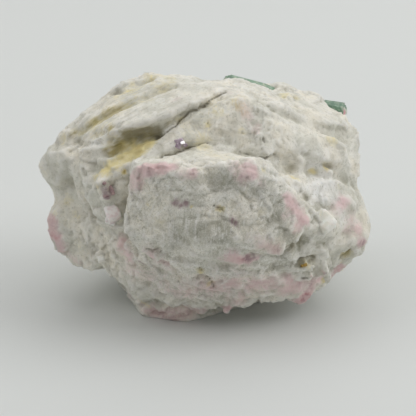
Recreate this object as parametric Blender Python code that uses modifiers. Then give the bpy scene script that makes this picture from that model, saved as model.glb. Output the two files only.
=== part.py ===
"""A watermelon tourmaline specimen: a broken lump of pale feldspar with pink and green tourmaline in it.

Run it with blender --background --python part.py, or from Blender's text editor.
Everything is modelled in millimetres and scaled to metres once, at the end.
+X is to the right as the specimen is shown, +Y is away from the viewer, and +Z is up.

The stone starts as overlapping lumps, one for each block that the breaks have left. They are made one body,
its surface is pushed in and out by chips, cracks and pits, and its underside is cut flat to stand on.
"""

import itertools
import math

import bmesh
import bpy
import numpy as np
from mathutils import Matrix, Vector

MM = 0.001

# Driving dimensions, in millimetres
UNION_VOXEL = 0.55
SURFACE_VOXEL = 0.5
SMOOTHING_PASSES = 1
REST_HEIGHT = 0.7
REST_FADE = 3.0
GRAIN = 3.2
GRAIN_DEPTH = 0.14
COLUMN_BULGE = 0.12
CUT_SNAP = 0.02
SMALLEST_EDGE = 0.12

# Chips: how wide, how deep, and which random draw
CHIPS = (
    (8.5, 0.6, 11),
    (4.4, 0.45, 12),
)
GRAIN_DRAW = 13

# Counts
COLUMN_SIDES = 12
TRIANGLE_BUDGET = 9300
BLOCKS = 40

# Calm parts, where chips have this share of their depth elsewhere: the middle and the reach of an ellipsoid
CALM_SHARE = 0.4
CALM_PARTS = (
    ((-1, -24, 32), (21, 9, 15)),
    ((-14, 2, 51), (19, 13, 8)),
    ((0, -12, 45), (16, 7, 5)),
)

# The stone's lumps. Each is the convex hull of its corners, and they overlap to make one body.
LUMPS = {
    "front_block": (
        (-18, -16, 43.5), (-13.5, -18.5, 44.5), (-8.5, -20.5, 43.5), (4, -21, 43.5), (7, -19.5, 45),
        (10, -17.5, 45), (-11, -12, 43.5), (0, -8, 45), (9.5, -10, 43), (17, -20.5, 37),
        (23.5, -18.5, 29), (20, -19.5, 25.5), (1, -26.5, 30), (-11, -24, 28), (12, -25.5, 28.5),
        (-6.5, -22, 17.5), (10, -21, 17), (-19.5, -18.5, 28.5), (-15.5, -18.5, 19.5), (-12, 10, 36),
        (12, 6, 36), (0, 10, 10), (20, 5, 12), (-14, 5, 12), (-15, -8, 42),
    ),
    "pink_boss": (
        (6.8, -19.2, 45.6), (9.8, -18, 45.9), (12.3, -18.8, 43.3), (12, -20.3, 40.6), (8.8, -21.8, 39.8),
        (5.9, -21.6, 41.6), (5.5, -20.3, 44.4), (9, -22, 43.4), (10.4, -19.6, 45), (7, -15, 43),
        (12, -14, 40),
    ),
    "front_right_ridge": (
        (10, -17, 45), (9.5, -12.5, 44.5), (13, -11.5, 43.6), (17, -20.6, 37), (19.6, -14, 37.9),
        (23.5, -18.6, 29), (25.4, -13, 30.6), (20, -8, 34), (8, -6, 40), (5, -10, 32), (20, -10, 26),
    ),
    "right_seam": (
        (12, -13, 43), (20, -12.4, 37.6), (27.5, -11, 30.6), (15, -8, 42.5), (22, -7, 38), (31, -4, 31),
        (10, 0, 38), (25, 0, 25), (28, 2, 30), (24, -12, 26),
    ),
    "right_shoulder": (
        (8.5, -3, 54.5), (12.5, -6, 48.5), (15.5, -8.3, 43.6), (18.5, -7, 42), (24, -3, 42), (31, -1, 37),
        (36, 3, 30.5), (37, 7, 35), (37, 14, 39.5), (34.5, 17, 41.5), (24, 20, 45.5), (16.5, 20, 48),
        (11.5, 19, 50), (5, 18, 51), (5, 4, 54), (34, 16, 20), (20, 24, 15), (8, 24, 20), (30, 2, 12),
    ),
    "shoulder_lump": (
        (21.6, -3, 44.5), (22.6, 1, 45.4), (29.1, 2.5, 43.4), (33, 3.5, 40.4), (34.2, 1.6, 37.2),
        (30.3, -2.8, 37.2), (26, -4.8, 39.4), (22.4, -5.6, 42.2), (22, 6, 38), (32, 8, 34),
    ),
    "right_face": (
        (22.8, -6.8, 36.8), (26.4, -6.3, 35.3), (31.6, -3, 34), (34.9, 0.5, 30.4), (32.7, -4.3, 30.2),
        (29.7, -6.8, 29.3), (25.9, -10, 30.6), (21.5, -13, 33.2), (19.3, -13.8, 36.6), (20, 0, 34),
        (30, 4, 26),
    ),
    "rim_block": (
        (22.7, 3.8, 45.6), (28.1, 5.2, 44.8), (31.8, 7.4, 43.4), (34.4, 10, 42), (33.8, 18, 42.8),
        (32.6, 20, 44.4), (27.2, 21, 46.4), (21.6, 18.5, 48.6), (18.4, 14, 49.7), (18.4, 9, 48.1),
        (20, 6.2, 46.7), (20, 20, 36), (30, 20, 34), (18, 8, 42),
    ),
    "crest": (
        (4, 2, 55), (4, 10, 53.5), (7.5, 18, 51.5), (11.5, 18, 50.5), (8.5, -3, 54.5), (12, 8, 51),
        (-2, 15, 51), (-2, 3, 48), (0, 24, 44), (12, 24, 44), (12, 4, 40),
    ),
    "crest_back": (
        (-26, 13, 47), (-14, 17, 52.5), (0, 17, 51.5), (12, 20, 48.5), (25, 21, 45.5), (20, 28, 42),
        (0, 29, 45), (-20, 25, 42), (-28, 18, 40), (0, 10, 40), (-20, 10, 38), (20, 10, 38),
    ),
    "middle_block": (
        (8.5, -3, 54.5), (12.5, -6, 48.5), (9.5, -6.3, 50.6), (4.6, -7.6, 49.3), (4, 0, 55.2),
        (-1.5, -2.8, 52.4), (-6.3, -4.6, 49.6), (-12.5, -6.4, 46), (-17.1, -6.2, 44.4), (-22.5, -7, 42),
        (-26.5, -9, 36.5), (-27, -7, 38.5), (-18.5, -11, 41), (-11, -12.5, 42.5), (-5, -10.5, 44.5),
        (0, -9, 45.5), (9.5, -11.5, 42.5), (15.5, -10, 42.5), (0, 12, 38), (-18, 8, 30), (12, 8, 40),
        (-25, -4, 39),
    ),
    "slab": (
        (-28.3, -2.4, 44.3), (-26.5, -3.2, 45.5), (-24.1, -4.2, 46.9), (-20.9, -6, 48.5),
        (-19.3, -6.6, 48.4), (-13.4, -6.8, 49.9), (-9.3, -5.8, 50.6), (-6.5, -4.6, 51.1),
        (-1.9, -3.2, 52.7), (1.9, -1.5, 54.2), (-8.4, -4.4, 52.2), (-4.2, -0.7, 53.9), (-0.7, 0.8, 54.6),
        (3.3, 2, 55.3), (-31.5, 1.5, 43.2), (-28.4, 2.5, 46.5), (-18.5, 5, 51.4), (-9.5, 8, 53.5),
        (-5.5, 8.5, 54.3), (4, 10, 53.6), (-5.5, 16, 52.3), (-20.5, -3.6, 45.8), (-12.5, -3.6, 47.6),
        (-6.5, -3.4, 49.4), (-1, -2, 51.6), (-26, 18, 42), (0, 20, 46), (-34, 12, 36), (-10, 8, 40),
    ),
    "slab_back_layer": (
        (-38.5, 4.6, 39.1), (-36.3, 5.5, 41.5), (-34.1, 6.5, 43.4), (-31.3, 8, 45.5), (-28.9, 10, 47.1),
        (-26.1, 11.5, 48.8), (-23.4, 12.5, 50.5), (-21.3, 13, 52), (-18.8, 13.5, 53.1), (-16.2, 14, 53.9),
        (-13.6, 15, 54.4), (-9, 15.5, 53.6), (-5.5, 15, 53.3), (0.5, 14, 52.7), (-36.2, 2.8, 40.2),
        (-31.6, 1.4, 43.6), (-28.4, 1.2, 46.2), (-24.6, 1.6, 49), (-18.5, 3.6, 51.6), (-13.8, 5.6, 53.1),
        (-9.5, 7.8, 54.1), (-6, 9, 54.5), (-36, 4, 37), (-20, 8, 46), (-30, 18, 38), (-12, 22, 46),
        (-4, 20, 50),
    ),
    "wall_under_slab": (
        (-20.1, -4.6, 47), (-17, -4.8, 47.8), (-13.5, -5, 48.7), (-10, -4.8, 49.6), (-23.5, -4.6, 44),
        (-22.3, -6, 42.6), (-20.2, -5.9, 43.5), (-17.1, -5.6, 44.6), (-14.3, -5.5, 45.6),
        (-11.7, -5.5, 46.2), (-10, -5.2, 47.3), (-8.4, -5, 48.5), (-20, 12, 44), (-5, 12, 44),
        (-22, 5, 38), (-5, 3, 38),
    ),
    "fin_upper": (
        (-27.2, -3.9, 44), (-25.3, -4.7, 45.4), (-22.9, -5.6, 46.5), (-20.6, -6, 46.6),
        (-20.8, -5.6, 45.5), (-23.4, -5.1, 44.6), (-26.8, -4, 43.1), (-30, -1.5, 42.6), (-24, 2, 43),
        (-30, 2, 41),
    ),
    "fin_middle": (
        (-32, -2.6, 42), (-28.2, -4.8, 42.5), (-25.3, -6, 43.7), (-22.6, -6.9, 44.5), (-21.3, -6.8, 43.9),
        (-24.4, -6.1, 42.4), (-28.2, -4.9, 41.4), (-22, 0, 42), (-31, 1, 40),
    ),
    "fin_lower": (
        (-32.8, -3.2, 40.8), (-28.9, -5.6, 41.1), (-26.5, -6.9, 40.9), (-24.3, -7.8, 41.2),
        (-22.6, -7.4, 42), (-24.3, -7, 40.2), (-28.9, -5.8, 39.6), (-32.2, -3.6, 39.6), (-24, 0, 40),
        (-31, 1, 37),
    ),
    "left_hollow": (
        (-35, -1, 39), (-29, -3, 41), (-25, -4, 42), (-27, -6.5, 38.5), (-22, -6.5, 42), (-31, -4, 37),
        (-20, 2, 44), (-20, 3, 34), (-32, 6, 34), (-28, -4, 34),
    ),
    "left_end": (
        (-41, 4, 34), (-40.5, 4, 36.5), (-40.5, 4, 31.5), (-38, 4, 29), (-34.5, -3, 36), (-35.5, -1, 31),
        (-35, -1.5, 40.5), (-39, 3, 39), (-36, 14, 36), (-34, 14, 26), (-28, 8, 26), (-22, 5, 42),
    ),
    "left_end_back": (
        (-38.5, 6, 36), (-36.5, 13, 33), (-32, 17.5, 35), (-29, 18.5, 40), (-33.5, 10, 41),
        (-36.8, 6.5, 39.4), (-26, 8, 36), (-28, 12, 30),
    ),
    "left_shelf": (
        (-35, -1, 40), (-33, -3, 40), (-27, -6, 40), (-28, -7.5, 38), (-31.5, -5, 36.5), (-20, 5, 42),
        (-20, 0, 30), (-32, 6, 28), (-31, -4, 30), (-29, -5, 27),
    ),
    "left_core": (
        (-38, 4, 29.5), (-37.5, 4.5, 24), (-33, -1, 30), (-32, -1.5, 24), (-34, 16, 36), (-33, 17, 18),
        (-15, 12, 40), (-15, 12, 10), (-15, -8, 30), (-15, -8, 15), (-26, 22, 30),
    ),
    "lower_left": (
        (-39.5, 1, 21.5), (-37.8, 2, 25), (-34, -1.5, 26.5), (-29.5, -3.5, 27.5), (-26.9, -6.5, 23.4),
        (-24.5, -9.4, 20.4), (-25, -8, 14), (-28.5, -6, 10.5), (-33, -3, 11), (-37, 0, 13),
        (-38.5, 0, 17.5), (-34, 14, 24), (-30, 15, 11), (-15, 10, 8), (-15, 5, 30),
    ),
    "lower_left_knob": (
        (-36.8, -0.7, 13.4), (-39, -0.5, 17.7), (-39.6, 0, 21.3), (-38.2, 0.5, 24.6), (-36.1, -1.6, 25.6),
        (-34.6, -3.6, 18), (-35.5, -2.4, 13.2), (-34, 3, 14), (-33, 3, 24),
    ),
    "low_stone": (
        (-26.3, -9.2, 15), (-23.9, -9.8, 15.2), (-24.5, -10.6, 17.8), (-26.5, -9.6, 16.8), (-24, -6, 14),
        (-24, -6, 18),
    ),
    "left_front": (
        (-30, -8, 35.2), (-29.4, -8.3, 31.8), (-28.3, -9.2, 28.9), (-26.9, -10, 26.6),
        (-25.2, -11.2, 24.8), (-23.4, -12.4, 24), (-21.6, -13.8, 23.8), (-30.5, -7, 35.8),
        (-26.5, -9.5, 37.6), (-24.5, -11, 39), (-18.5, -11.5, 42), (-18, -12.5, 42), (-20, -13.6, 28.5),
        (-25, -12.2, 33), (-15, 0, 35), (-20, 0, 27),
    ),
    "left_seam": (
        (-24.5, -10, 25), (-21, -12.5, 28.5), (-16, -16.5, 20), (-21.4, -12.5, 19.5), (-18, -13, 31),
        (-24.6, -9.4, 18), (-24.6, -9.8, 21.5), (-15, 0, 24), (-26, -4, 22), (-23.4, -9, 29),
    ),
    "bottom_band": (
        (-24.9, -8.6, 13.3), (-23.5, -9.6, 11.2), (-20.6, -11.5, 9.6), (-17, -13.6, 8.6), (-13.6, -15, 8),
        (-8.4, -16, 7.6), (-1.7, -15.5, 5.8), (4, -16, 7), (11, -15.6, 7.4), (18, -14.4, 7.8),
        (21.5, -13, 7.2), (-16, -18.5, 20), (-5, -23, 20), (3, -24, 19.5), (16, -20, 17), (-23, -11, 20),
        (-21, -15, 23), (-15, 5, 26), (20, 0, 22), (-20, 10, 8), (0, 15, 6), (20, 10, 8), (25, 5, 10),
    ),
    "band_bulge_left": (
        (-19.1, -12.2, 9.2), (-17.9, -12.6, 6.6), (-15.4, -13.2, 6.2), (-13.3, -15.2, 8.8),
        (-15.8, -16.8, 12.6), (-19, -14.6, 12), (-16, -8, 8),
    ),
    "band_bulge_middle": (
        (-5, -14.7, 5.5), (-1.7, -13.7, 3), (1, -14.2, 4.2), (2.2, -16.2, 7.6), (-0.7, -18.8, 10.6),
        (-4.4, -18, 9.9), (-2, -8, 6), (-6, -10, 8),
    ),
    "hanging_knob": (
        (2.6, -14.5, 6.8), (3.6, -13.8, 4.1), (5.3, -13.5, 3), (6.5, -14.2, 4.7), (5.7, -16.4, 7.9),
        (4, -16.2, 8.3), (4.5, -10, 7),
    ),
    "band_bulge_right": (
        (6.2, -14.7, 6), (9.1, -14.2, 4.9), (11, -14.7, 6.7), (11.3, -17.4, 10), (8.7, -18.8, 11.5),
        (6.2, -18.2, 10.4), (8, -9, 8),
    ),
    "lower_right": (
        (23, -17.5, 29), (29.5, -11, 24), (31, -8, 23), (34.5, -5, 15), (32.5, -4, 9.5), (27.5, -7, 8),
        (25.2, -10.5, 7.2), (22.5, -11.5, 5), (18.5, -12.4, 6.6), (19.5, -18.5, 25.5), (21, -17, 15),
        (10, -20, 24), (34, 14, 25), (31, 16, 11), (15, 5, 10), (10, 0, 20),
    ),
    "red_tip": (
        (19.2, -11.8, 5.7), (21.4, -11.3, 4.6), (22.6, -11, 3.9), (24.4, -10.7, 5.4), (25.3, -10.8, 7.4),
        (23.3, -13.8, 10), (20.2, -15.6, 10.6), (20, -6, 8),
    ),
    "curved_rib": (
        (25.4, -14.3, 19), (26.9, -13.8, 18.5), (28.3, -12.6, 15.7), (28, -12, 13.2), (26.5, -12.2, 12.2),
        (26.2, -13.2, 14.4), (25.4, -14.5, 17.2), (26, -6, 14), (26, -6, 18),
    ),
    "right_corner": (
        (34, -7, 22), (38, -5, 20), (38.5, -4, 17.5), (39.5, -2, 21.5), (37.5, 0, 26), (36, 3, 30),
        (35, -6, 15), (31.5, -8, 14.5), (32.5, -4, 10), (29.5, -11, 19), (35, 12, 24), (24, 4, 20),
    ),
    "pink_cleavage": (
        (29.9, -7.6, 29.2), (32.4, -5.6, 31), (35.5, -4.4, 26.8), (34.5, -7, 22.6), (30, -10.5, 22.6),
        (29.2, -11, 26.4), (36.8, 1.5, 28.8), (26, 0, 20), (28, 8, 30),
    ),
    "white_rhomb": (
        (24.2, -14.4, 30.4), (27.5, -10.4, 30.6), (30.2, -10.4, 25), (27, -14.6, 24.4), (24.2, -16, 27.6),
        (24, -6, 24), (22, -8, 31), (28, -4, 26),
    ),
    "base": (
        (-15.9, -9.9, 0), (-14, -10.6, 0), (-10.4, -11.5, 0), (-8.4, -11.3, 0), (-6.7, -12.3, 0),
        (-4.8, -12.9, 0), (-3.2, -12, 0.6), (-0.4, -10, 1.6), (-16.9, -9.6, 3.8), (-15.1, -12.2, 5.7),
        (-11.5, -13.8, 6.6), (-6.7, -13.2, 6.2), (0, -7, 0), (7, -4, 0), (15, -1, 0), (20, 8, 0),
        (11, 18, 0), (-4, 20, 0), (-16, 17, 0), (-20, 8, 0), (-18, -1.5, 0), (-26, 8, 8), (26, 12, 8),
        (22, 21, 8), (-21, 20, 8), (2, 26, 10), (-22, 0, 9), (20, -2, 8),
    ),
    "underside": (
        (-31, 7, 14), (-28, 18, 18), (-24, 22, 17), (0, 29, 18), (24, 25, 18), (31, 12, 15), (-20, 17, 4),
        (0, 24, 4), (18, 17, 4), (-25, 4, 7), (24, 3, 7), (0, 0, 10), (-10, 26, 14), (12, 27, 13),
        (22, -4, 10),
    ),
    "back": (
        (-32, 17, 37), (-33, 15, 18), (-20, 26, 42), (-24, 25, 14), (-2, 29, 46), (2, 31, 18),
        (20, 28, 42), (24, 27, 16), (33, 20, 38), (35, 15, 18), (0, 0, 30), (-10, 12, 8), (14, 12, 8),
        (8, 27, 46),
    ),
}

# Tourmaline columns: both ends of the axis and the radius. The green rind is along the back, under the crest.
GREEN_COLUMNS = (
    ((3, 20.5, 47.3), (20, 24, 44.5), 3.2),
    ((14, 23.5, 45), (33.5, 18.5, 41.5), 3.4),
    ((-7, 26.5, 42), (31, 24, 36.5), 4.6),
    ((-14, 28, 36), (32, 24, 29), 4.8),
    ((-18, 27, 29), (26, 27, 22), 4.4),
)
ROSE_COLUMNS = (
    ((-24.6, -12, 38), (-23.4, -13, 33.5), 1.6),
    ((-23.6, -12.4, 31.5), (-21.8, -13.8, 28.5), 1.8),
    ((-14.5, -21.5, 25.5), (-11, -22.5, 22.5), 1.3),
)

# Cracks and ledges: half width, depth, and the line they follow
GROOVES = (
    (0.8, 1.8, ((-23.5, -6.4, 42.2), (-20.2, -6, 43.2), (-17.1, -5.8, 44.4), (-11.7, -6, 46), (-10, -5, 47),
                (-6.6, -4.4, 49.8), (-3.5, -3.6, 51.7), (0.5, -2.4, 53.3), (3.7, 0.3, 55.2))),
    (0.8, 1.5, ((-11.3, -12.4, 43.6), (-5, -10.2, 45), (-0.2, -9, 45.6), (5.3, -9.7, 44.4),
                (9.5, -11.7, 43.1), (15, -10.2, 42.8))),
    (0.9, 1.1, ((-17.5, -15, 43), (-19.5, -15, 34), (-20, -15.5, 28.5), (-16.5, -17, 22), (-10, -22, 21))),
    (0.8, 0.8, ((-36.2, 2.4, 40), (-31.6, 1, 43.4), (-28.4, 0.8, 46), (-24.6, 1.2, 48.7), (-18.5, 3.2, 51.2),
                (-13.8, 5.2, 52.7), (-9.5, 7.4, 53.7))),
    (0.9, 0.8, ((-23.1, 10.1, 50.8), (-18.8, 11.1, 51.6), (-13.9, 11, 53.8))),
    (0.8, 1.0, ((-30, -2.6, 42), (-26.5, -4.2, 43.4), (-23.4, -5.6, 44.8), (-21, -6, 45.2))),
    (0.8, 1.0, ((-31, -3.8, 41), (-28.4, -5, 41.2), (-24.6, -6.6, 42.2), (-22.4, -7, 43.2))),
    (1.8, 1.3, ((-34.5, -2, 36), (-34, -1.5, 31), (-33, -2, 26.8), (-30, -4, 25))),
    (1.0, 1.0, ((11.4, 3.9, 52.8), (12.7, 0.5, 52.3), (15.1, 0.6, 50.8), (18.2, 1.6, 48.6), (21.4, 3, 46.4))),
    (1.3, 1.2, ((16, -9, 42), (17.6, -13, 40.4), (18.9, -15, 38.6), (22, -13.4, 36), (25, -12.5, 32),
                (28, -10, 29.6))),
    (1.0, 1.0, ((23, -18, 28.5), (22, -17.6, 24), (20.5, -18.4, 19), (21, -16, 13))),
    (0.9, 1.0, ((20.6, -15.8, 17.8), (22.8, -14.6, 18.2), (24.8, -14, 18))),
    (0.7, 0.8, ((18.3, -17.5, 16.3), (20.4, -16.5, 16), (22.5, -13.6, 12.9))),
    (1.0, 0.9, ((30.5, -10.4, 19.5), (31.6, -9.2, 16.6), (33.4, -7.4, 14.2))),
    (0.9, 0.7, ((-22, -12, 19), (-14, -18.5, 18.5), (-5, -22, 17), (6, -22.4, 16.5), (16, -20, 18))),
    (0.8, 0.8, ((-3, -22.8, 17), (0, -22, 15), (1.6, -20.6, 11.6))),
    (0.9, 0.8, ((-8.2, -26, 21.5), (-3, -24.6, 20), (2, -25, 19.2))),
)

# Pits: the middle of each, its radius and its depth
PITS = (
    ((21.6, -16, 23.6), 2.1, 1.7), ((22.9, -14, 17.6), 1.4, 1.2), ((22.5, -13.4, 12.9), 1.0, 1.0),
    ((9.2, -23.4, 23.3), 1.9, 0.9), ((-0.7, -22.6, 17.6), 1.8, 0.8), ((1.8, -22.2, 41.4), 2.8, 1.1),
    ((9.4, -21, 38.6), 1.8, 0.9), ((-7.4, -24.6, 29), 3.4, 0.8), ((14, -22.6, 33), 2.6, 0.7),
    ((-0.3, -7.6, 47.8), 0.8, 0.8), ((5.7, -6.8, 49.4), 1.2, 0.8), ((13, -8.4, 46), 0.9, 0.9),
    ((19.4, -8.6, 39.2), 2.6, 1.5), ((17.4, -10, 41), 1.8, 1.1), ((24.6, -5.8, 37.3), 1.9, 1.2),
    ((28, -2.6, 36.6), 1.8, 1.0), ((26, -9, 33), 2.2, 0.7), ((-31, -2.5, 39.4), 2.2, 1.3),
    ((-27.5, -5, 39.5), 2.0, 1.1), ((-37.5, 0.4, 34.4), 2.2, 0.7), ((-31.4, -4, 20.5), 2.6, 1.0),
    ((-27.5, -7.6, 17.8), 2.0, 0.9), ((20, 6, 46.6), 2.4, 0.8), ((33.4, -8, 22), 1.8, 0.9),
)


def clear_scene():
    for old in list(bpy.data.objects):
        bpy.data.objects.remove(old)


def hull_object(name, corners, collection):
    """The convex hull of the corners, as a closed mesh object."""
    shape = bmesh.new()
    for corner in corners:
        shape.verts.new(corner)
    hull = bmesh.ops.convex_hull(shape, input=shape.verts)
    unused = hull["geom_interior"] + hull["geom_unused"]
    inside = {item for item in unused if isinstance(item, bmesh.types.BMVert)}
    bmesh.ops.delete(shape, geom=list(inside), context="VERTS")
    bmesh.ops.recalc_face_normals(shape, faces=shape.faces)
    mesh = bpy.data.meshes.new(name)
    shape.to_mesh(mesh)
    shape.free()
    made = bpy.data.objects.new(name, mesh)
    collection.objects.link(made)
    made.hide_render = True
    made.display_type = "WIRE"
    return made


def column_corners(start, end, radius):
    """A tourmaline column: a triangle with bulging sides, carried from one end of its axis to the other."""
    axis = Vector(end) - Vector(start)
    turn = axis.to_track_quat("Z", "Y")
    corners = []
    for step in range(COLUMN_SIDES):
        angle = math.tau * step / COLUMN_SIDES
        reach = radius * (1 + COLUMN_BULGE * math.cos(3 * angle))
        rim = turn @ Vector((reach * math.cos(angle), reach * math.sin(angle), 0))
        corners += [Vector(start) + rim, Vector(end) + rim]
    return corners


def points_of(mesh):
    flat = np.empty(len(mesh.vertices) * 3)
    mesh.vertices.foreach_get("co", flat)
    return flat.reshape(-1, 3)


def soft_noise(points, cell, draw):
    """Smooth noise from -1 to 1: random values on a cubic lattice, blended between a cell's eight corners."""
    scaled = points / cell
    low = np.floor(scaled).astype(int)
    part = scaled - low
    blend = part * part * (3 - 2 * part)
    low -= low.min(axis=0)
    values = np.random.default_rng(draw).uniform(-1, 1, low.max(axis=0) + 2)
    total = np.zeros(len(points))
    for corner in itertools.product((0, 1), repeat=3):
        weight = np.prod(np.where(corner, blend, 1 - blend), axis=1)
        i, j, k = (low + corner).T
        total += weight * values[i, j, k]
    return total


def chips(points, size, draw):
    """Broken facets: each point takes the tilted plane of the nearest scattered centre, about -0.5 to 0.5."""
    random = np.random.default_rng(draw)
    low = points.min(axis=0)
    high = points.max(axis=0)
    count = int(np.prod((high - low) / size))
    centres = random.uniform(low, high, (count, 3))
    tilts = random.normal(size=(count, 3))
    tilts /= np.linalg.norm(tilts, axis=1, keepdims=True)
    relief = []
    for block in np.array_split(points, BLOCKS):
        away = block[:, None, :] - centres
        nearest = (away ** 2).sum(axis=2).argmin(axis=1)
        picked = away[np.arange(len(block)), nearest]
        relief.append((picked * tilts[nearest]).sum(axis=1) / size)
    return np.concatenate(relief)


def distance_to_route(points, route):
    """How far each point is from the line drawn through the route's corners."""
    nearest = np.full(len(points), np.inf)
    for start, end in itertools.pairwise(np.array(route, float)):
        run = end - start
        along = np.clip((points - start) @ run / (run @ run), 0, 1)
        nearest = np.minimum(nearest, np.linalg.norm(points - start - along[:, None] * run, axis=1))
    return nearest


def calm_share(points):
    """1 where the stone is rough, down to the calm share in the middle of a calm part."""
    share = np.ones(len(points))
    for middle, reach in CALM_PARTS:
        away = np.linalg.norm((points - middle) / reach, axis=1)
        share = np.minimum(share, np.clip(away * away, CALM_SHARE, 1))
    return share


def relief_of(points):
    """How far each point of the surface moves out, in millimetres, with less near the face it rests on."""
    relief = GRAIN_DEPTH * soft_noise(points, GRAIN, GRAIN_DRAW)
    calm = calm_share(points)
    for size, depth, draw in CHIPS:
        relief += depth * calm * chips(points, size, draw)
    for half_width, depth, route in GROOVES:
        relief -= depth * np.exp(-(distance_to_route(points, route) / half_width) ** 2)
    for middle, radius, depth in PITS:
        relief -= depth * np.exp(-(np.linalg.norm(points - middle, axis=1) / radius) ** 2)
    return relief * np.clip((points[:, 2] - REST_HEIGHT) / REST_FADE, 0, 1)


def with_modifier(source, kind, **settings):
    """Applies one modifier to the object's mesh."""
    modifier = source.modifiers.new(kind.lower(), kind)
    for name, value in settings.items():
        setattr(modifier, name, value)
    bpy.context.view_layer.update()
    mesh = bpy.data.meshes.new_from_object(source.evaluated_get(bpy.context.evaluated_depsgraph_get()))
    source.modifiers.clear()
    source.data = mesh


def keep_outer_shell(mesh):
    """Deletes every shell but the largest, so that no sealed hollow is left where lumps meet."""
    shape = bmesh.new()
    shape.from_mesh(mesh)
    waiting = set(shape.verts)
    shells = []
    while waiting:
        shell = {waiting.pop()}
        edge_of_shell = set(shell)
        while edge_of_shell:
            edge_of_shell = {edge.other_vert(v) for v in edge_of_shell for edge in v.link_edges} & waiting
            waiting -= edge_of_shell
            shell |= edge_of_shell
        shells.append(shell)
    outer = max(shells, key=len)
    bmesh.ops.delete(shape, geom=[v for v in shape.verts if v not in outer], context="VERTS")
    shape.to_mesh(mesh)
    shape.free()


def smooth(mesh, passes):
    shape = bmesh.new()
    shape.from_mesh(mesh)
    for _ in range(passes):
        bmesh.ops.smooth_vert(shape, verts=shape.verts, factor=0.5, use_axis_x=True, use_axis_y=True,
                              use_axis_z=True)
    shape.to_mesh(mesh)
    shape.free()


def roughen(mesh):
    """Moves every vertex along its normal by the surface's relief."""
    points = points_of(mesh)
    normals = np.empty(len(mesh.vertices) * 3)
    mesh.vertices.foreach_get("normal", normals)
    points += normals.reshape(-1, 3) * relief_of(points)[:, None]
    mesh.vertices.foreach_set("co", points.ravel())
    mesh.update()


def cut_flat(mesh):
    """Cuts the underside off at the rest height and closes it with one flat face."""
    shape = bmesh.new()
    shape.from_mesh(mesh)
    everything = shape.verts[:] + shape.edges[:] + shape.faces[:]
    plane = Vector((0, 0, REST_HEIGHT))
    bmesh.ops.bisect_plane(shape, geom=everything, dist=CUT_SNAP, plane_co=plane, plane_no=Vector((0, 0, 1)),
                           clear_inner=True)
    rim = [edge for edge in shape.edges if edge.is_boundary]
    bmesh.ops.holes_fill(shape, edges=rim, sides=0)
    bmesh.ops.dissolve_degenerate(shape, dist=SMALLEST_EDGE, edges=shape.edges)
    bmesh.ops.triangulate(shape, faces=shape.faces)
    bmesh.ops.recalc_face_normals(shape, faces=shape.faces)
    shape.to_mesh(mesh)
    shape.free()


def feldspar():
    """Milky feldspar, dull on its breaks."""
    material = bpy.data.materials.new("milky_feldspar")
    material.use_nodes = True
    shader = material.node_tree.nodes["Principled BSDF"]
    shader.inputs["Base Color"].default_value = (0.60, 0.60, 0.54, 1)
    shader.inputs["Roughness"].default_value = 0.7
    shader.inputs["Metallic"].default_value = 0
    return material


def main():
    clear_scene()
    stone_collection = bpy.data.collections.new("watermelon_tourmaline")
    lump_collection = bpy.data.collections.new("lumps")
    for made in (stone_collection, lump_collection):
        bpy.context.scene.collection.children.link(made)
    for name, corners in LUMPS.items():
        hull_object("lump_" + name, corners, lump_collection)
    for number, column in enumerate(GREEN_COLUMNS + ROSE_COLUMNS):
        hull_object(f"lump_column_{number}", column_corners(*column), lump_collection)

    joined = bmesh.new()
    for lump in lump_collection.objects:
        joined.from_mesh(lump.data)
    mesh = bpy.data.meshes.new("stone")
    joined.to_mesh(mesh)
    joined.free()
    stone = bpy.data.objects.new("stone", mesh)
    stone_collection.objects.link(stone)

    with_modifier(stone, "REMESH", mode="VOXEL", voxel_size=UNION_VOXEL)
    keep_outer_shell(stone.data)
    smooth(stone.data, SMOOTHING_PASSES)
    roughen(stone.data)
    with_modifier(stone, "REMESH", mode="VOXEL", voxel_size=SURFACE_VOXEL)
    keep_outer_shell(stone.data)
    triangles = 2 * len(stone.data.polygons)
    with_modifier(stone, "DECIMATE", ratio=TRIANGLE_BUDGET / triangles)
    cut_flat(stone.data)

    points = points_of(stone.data)
    low = points.min(axis=0)
    high = points.max(axis=0)
    middle = (low + high) / 2
    placed = Matrix.Scale(MM, 4) @ Matrix.Translation((-middle[0], -middle[1], -low[2]))
    stone.data.transform(placed)
    stone.data.materials.append(feldspar())
    for lump in lump_collection.objects:
        lump.data.transform(placed)


main()
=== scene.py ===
"""A watermelon tourmaline specimen: broken milky feldspar with rose, mauve and green tourmaline in it.

Lengths are in millimetres, in the stone's own frame, until a mesh is written: +X is to the right as the
stone is shown, +Y away from the viewer, +Z up, and the ground is at 0. Places on the side that is shown are
given as seen: across and down from the top left corner of the square picture, in 416ths of its width.
"""

import itertools
import math

import bmesh
import bpy
import numpy as np
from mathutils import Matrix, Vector


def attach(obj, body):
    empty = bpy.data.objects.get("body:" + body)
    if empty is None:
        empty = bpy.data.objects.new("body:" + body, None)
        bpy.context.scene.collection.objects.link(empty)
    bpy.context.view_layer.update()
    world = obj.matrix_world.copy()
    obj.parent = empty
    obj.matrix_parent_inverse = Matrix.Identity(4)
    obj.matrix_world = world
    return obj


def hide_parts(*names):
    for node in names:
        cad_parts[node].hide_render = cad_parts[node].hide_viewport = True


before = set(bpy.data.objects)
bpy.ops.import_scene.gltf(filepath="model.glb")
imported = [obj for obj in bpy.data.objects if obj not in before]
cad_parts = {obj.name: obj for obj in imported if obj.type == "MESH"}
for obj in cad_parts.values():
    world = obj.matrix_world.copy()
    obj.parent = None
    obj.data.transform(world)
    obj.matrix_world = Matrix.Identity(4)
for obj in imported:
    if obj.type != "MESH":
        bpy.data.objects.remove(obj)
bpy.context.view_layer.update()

MM = 0.001

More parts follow.
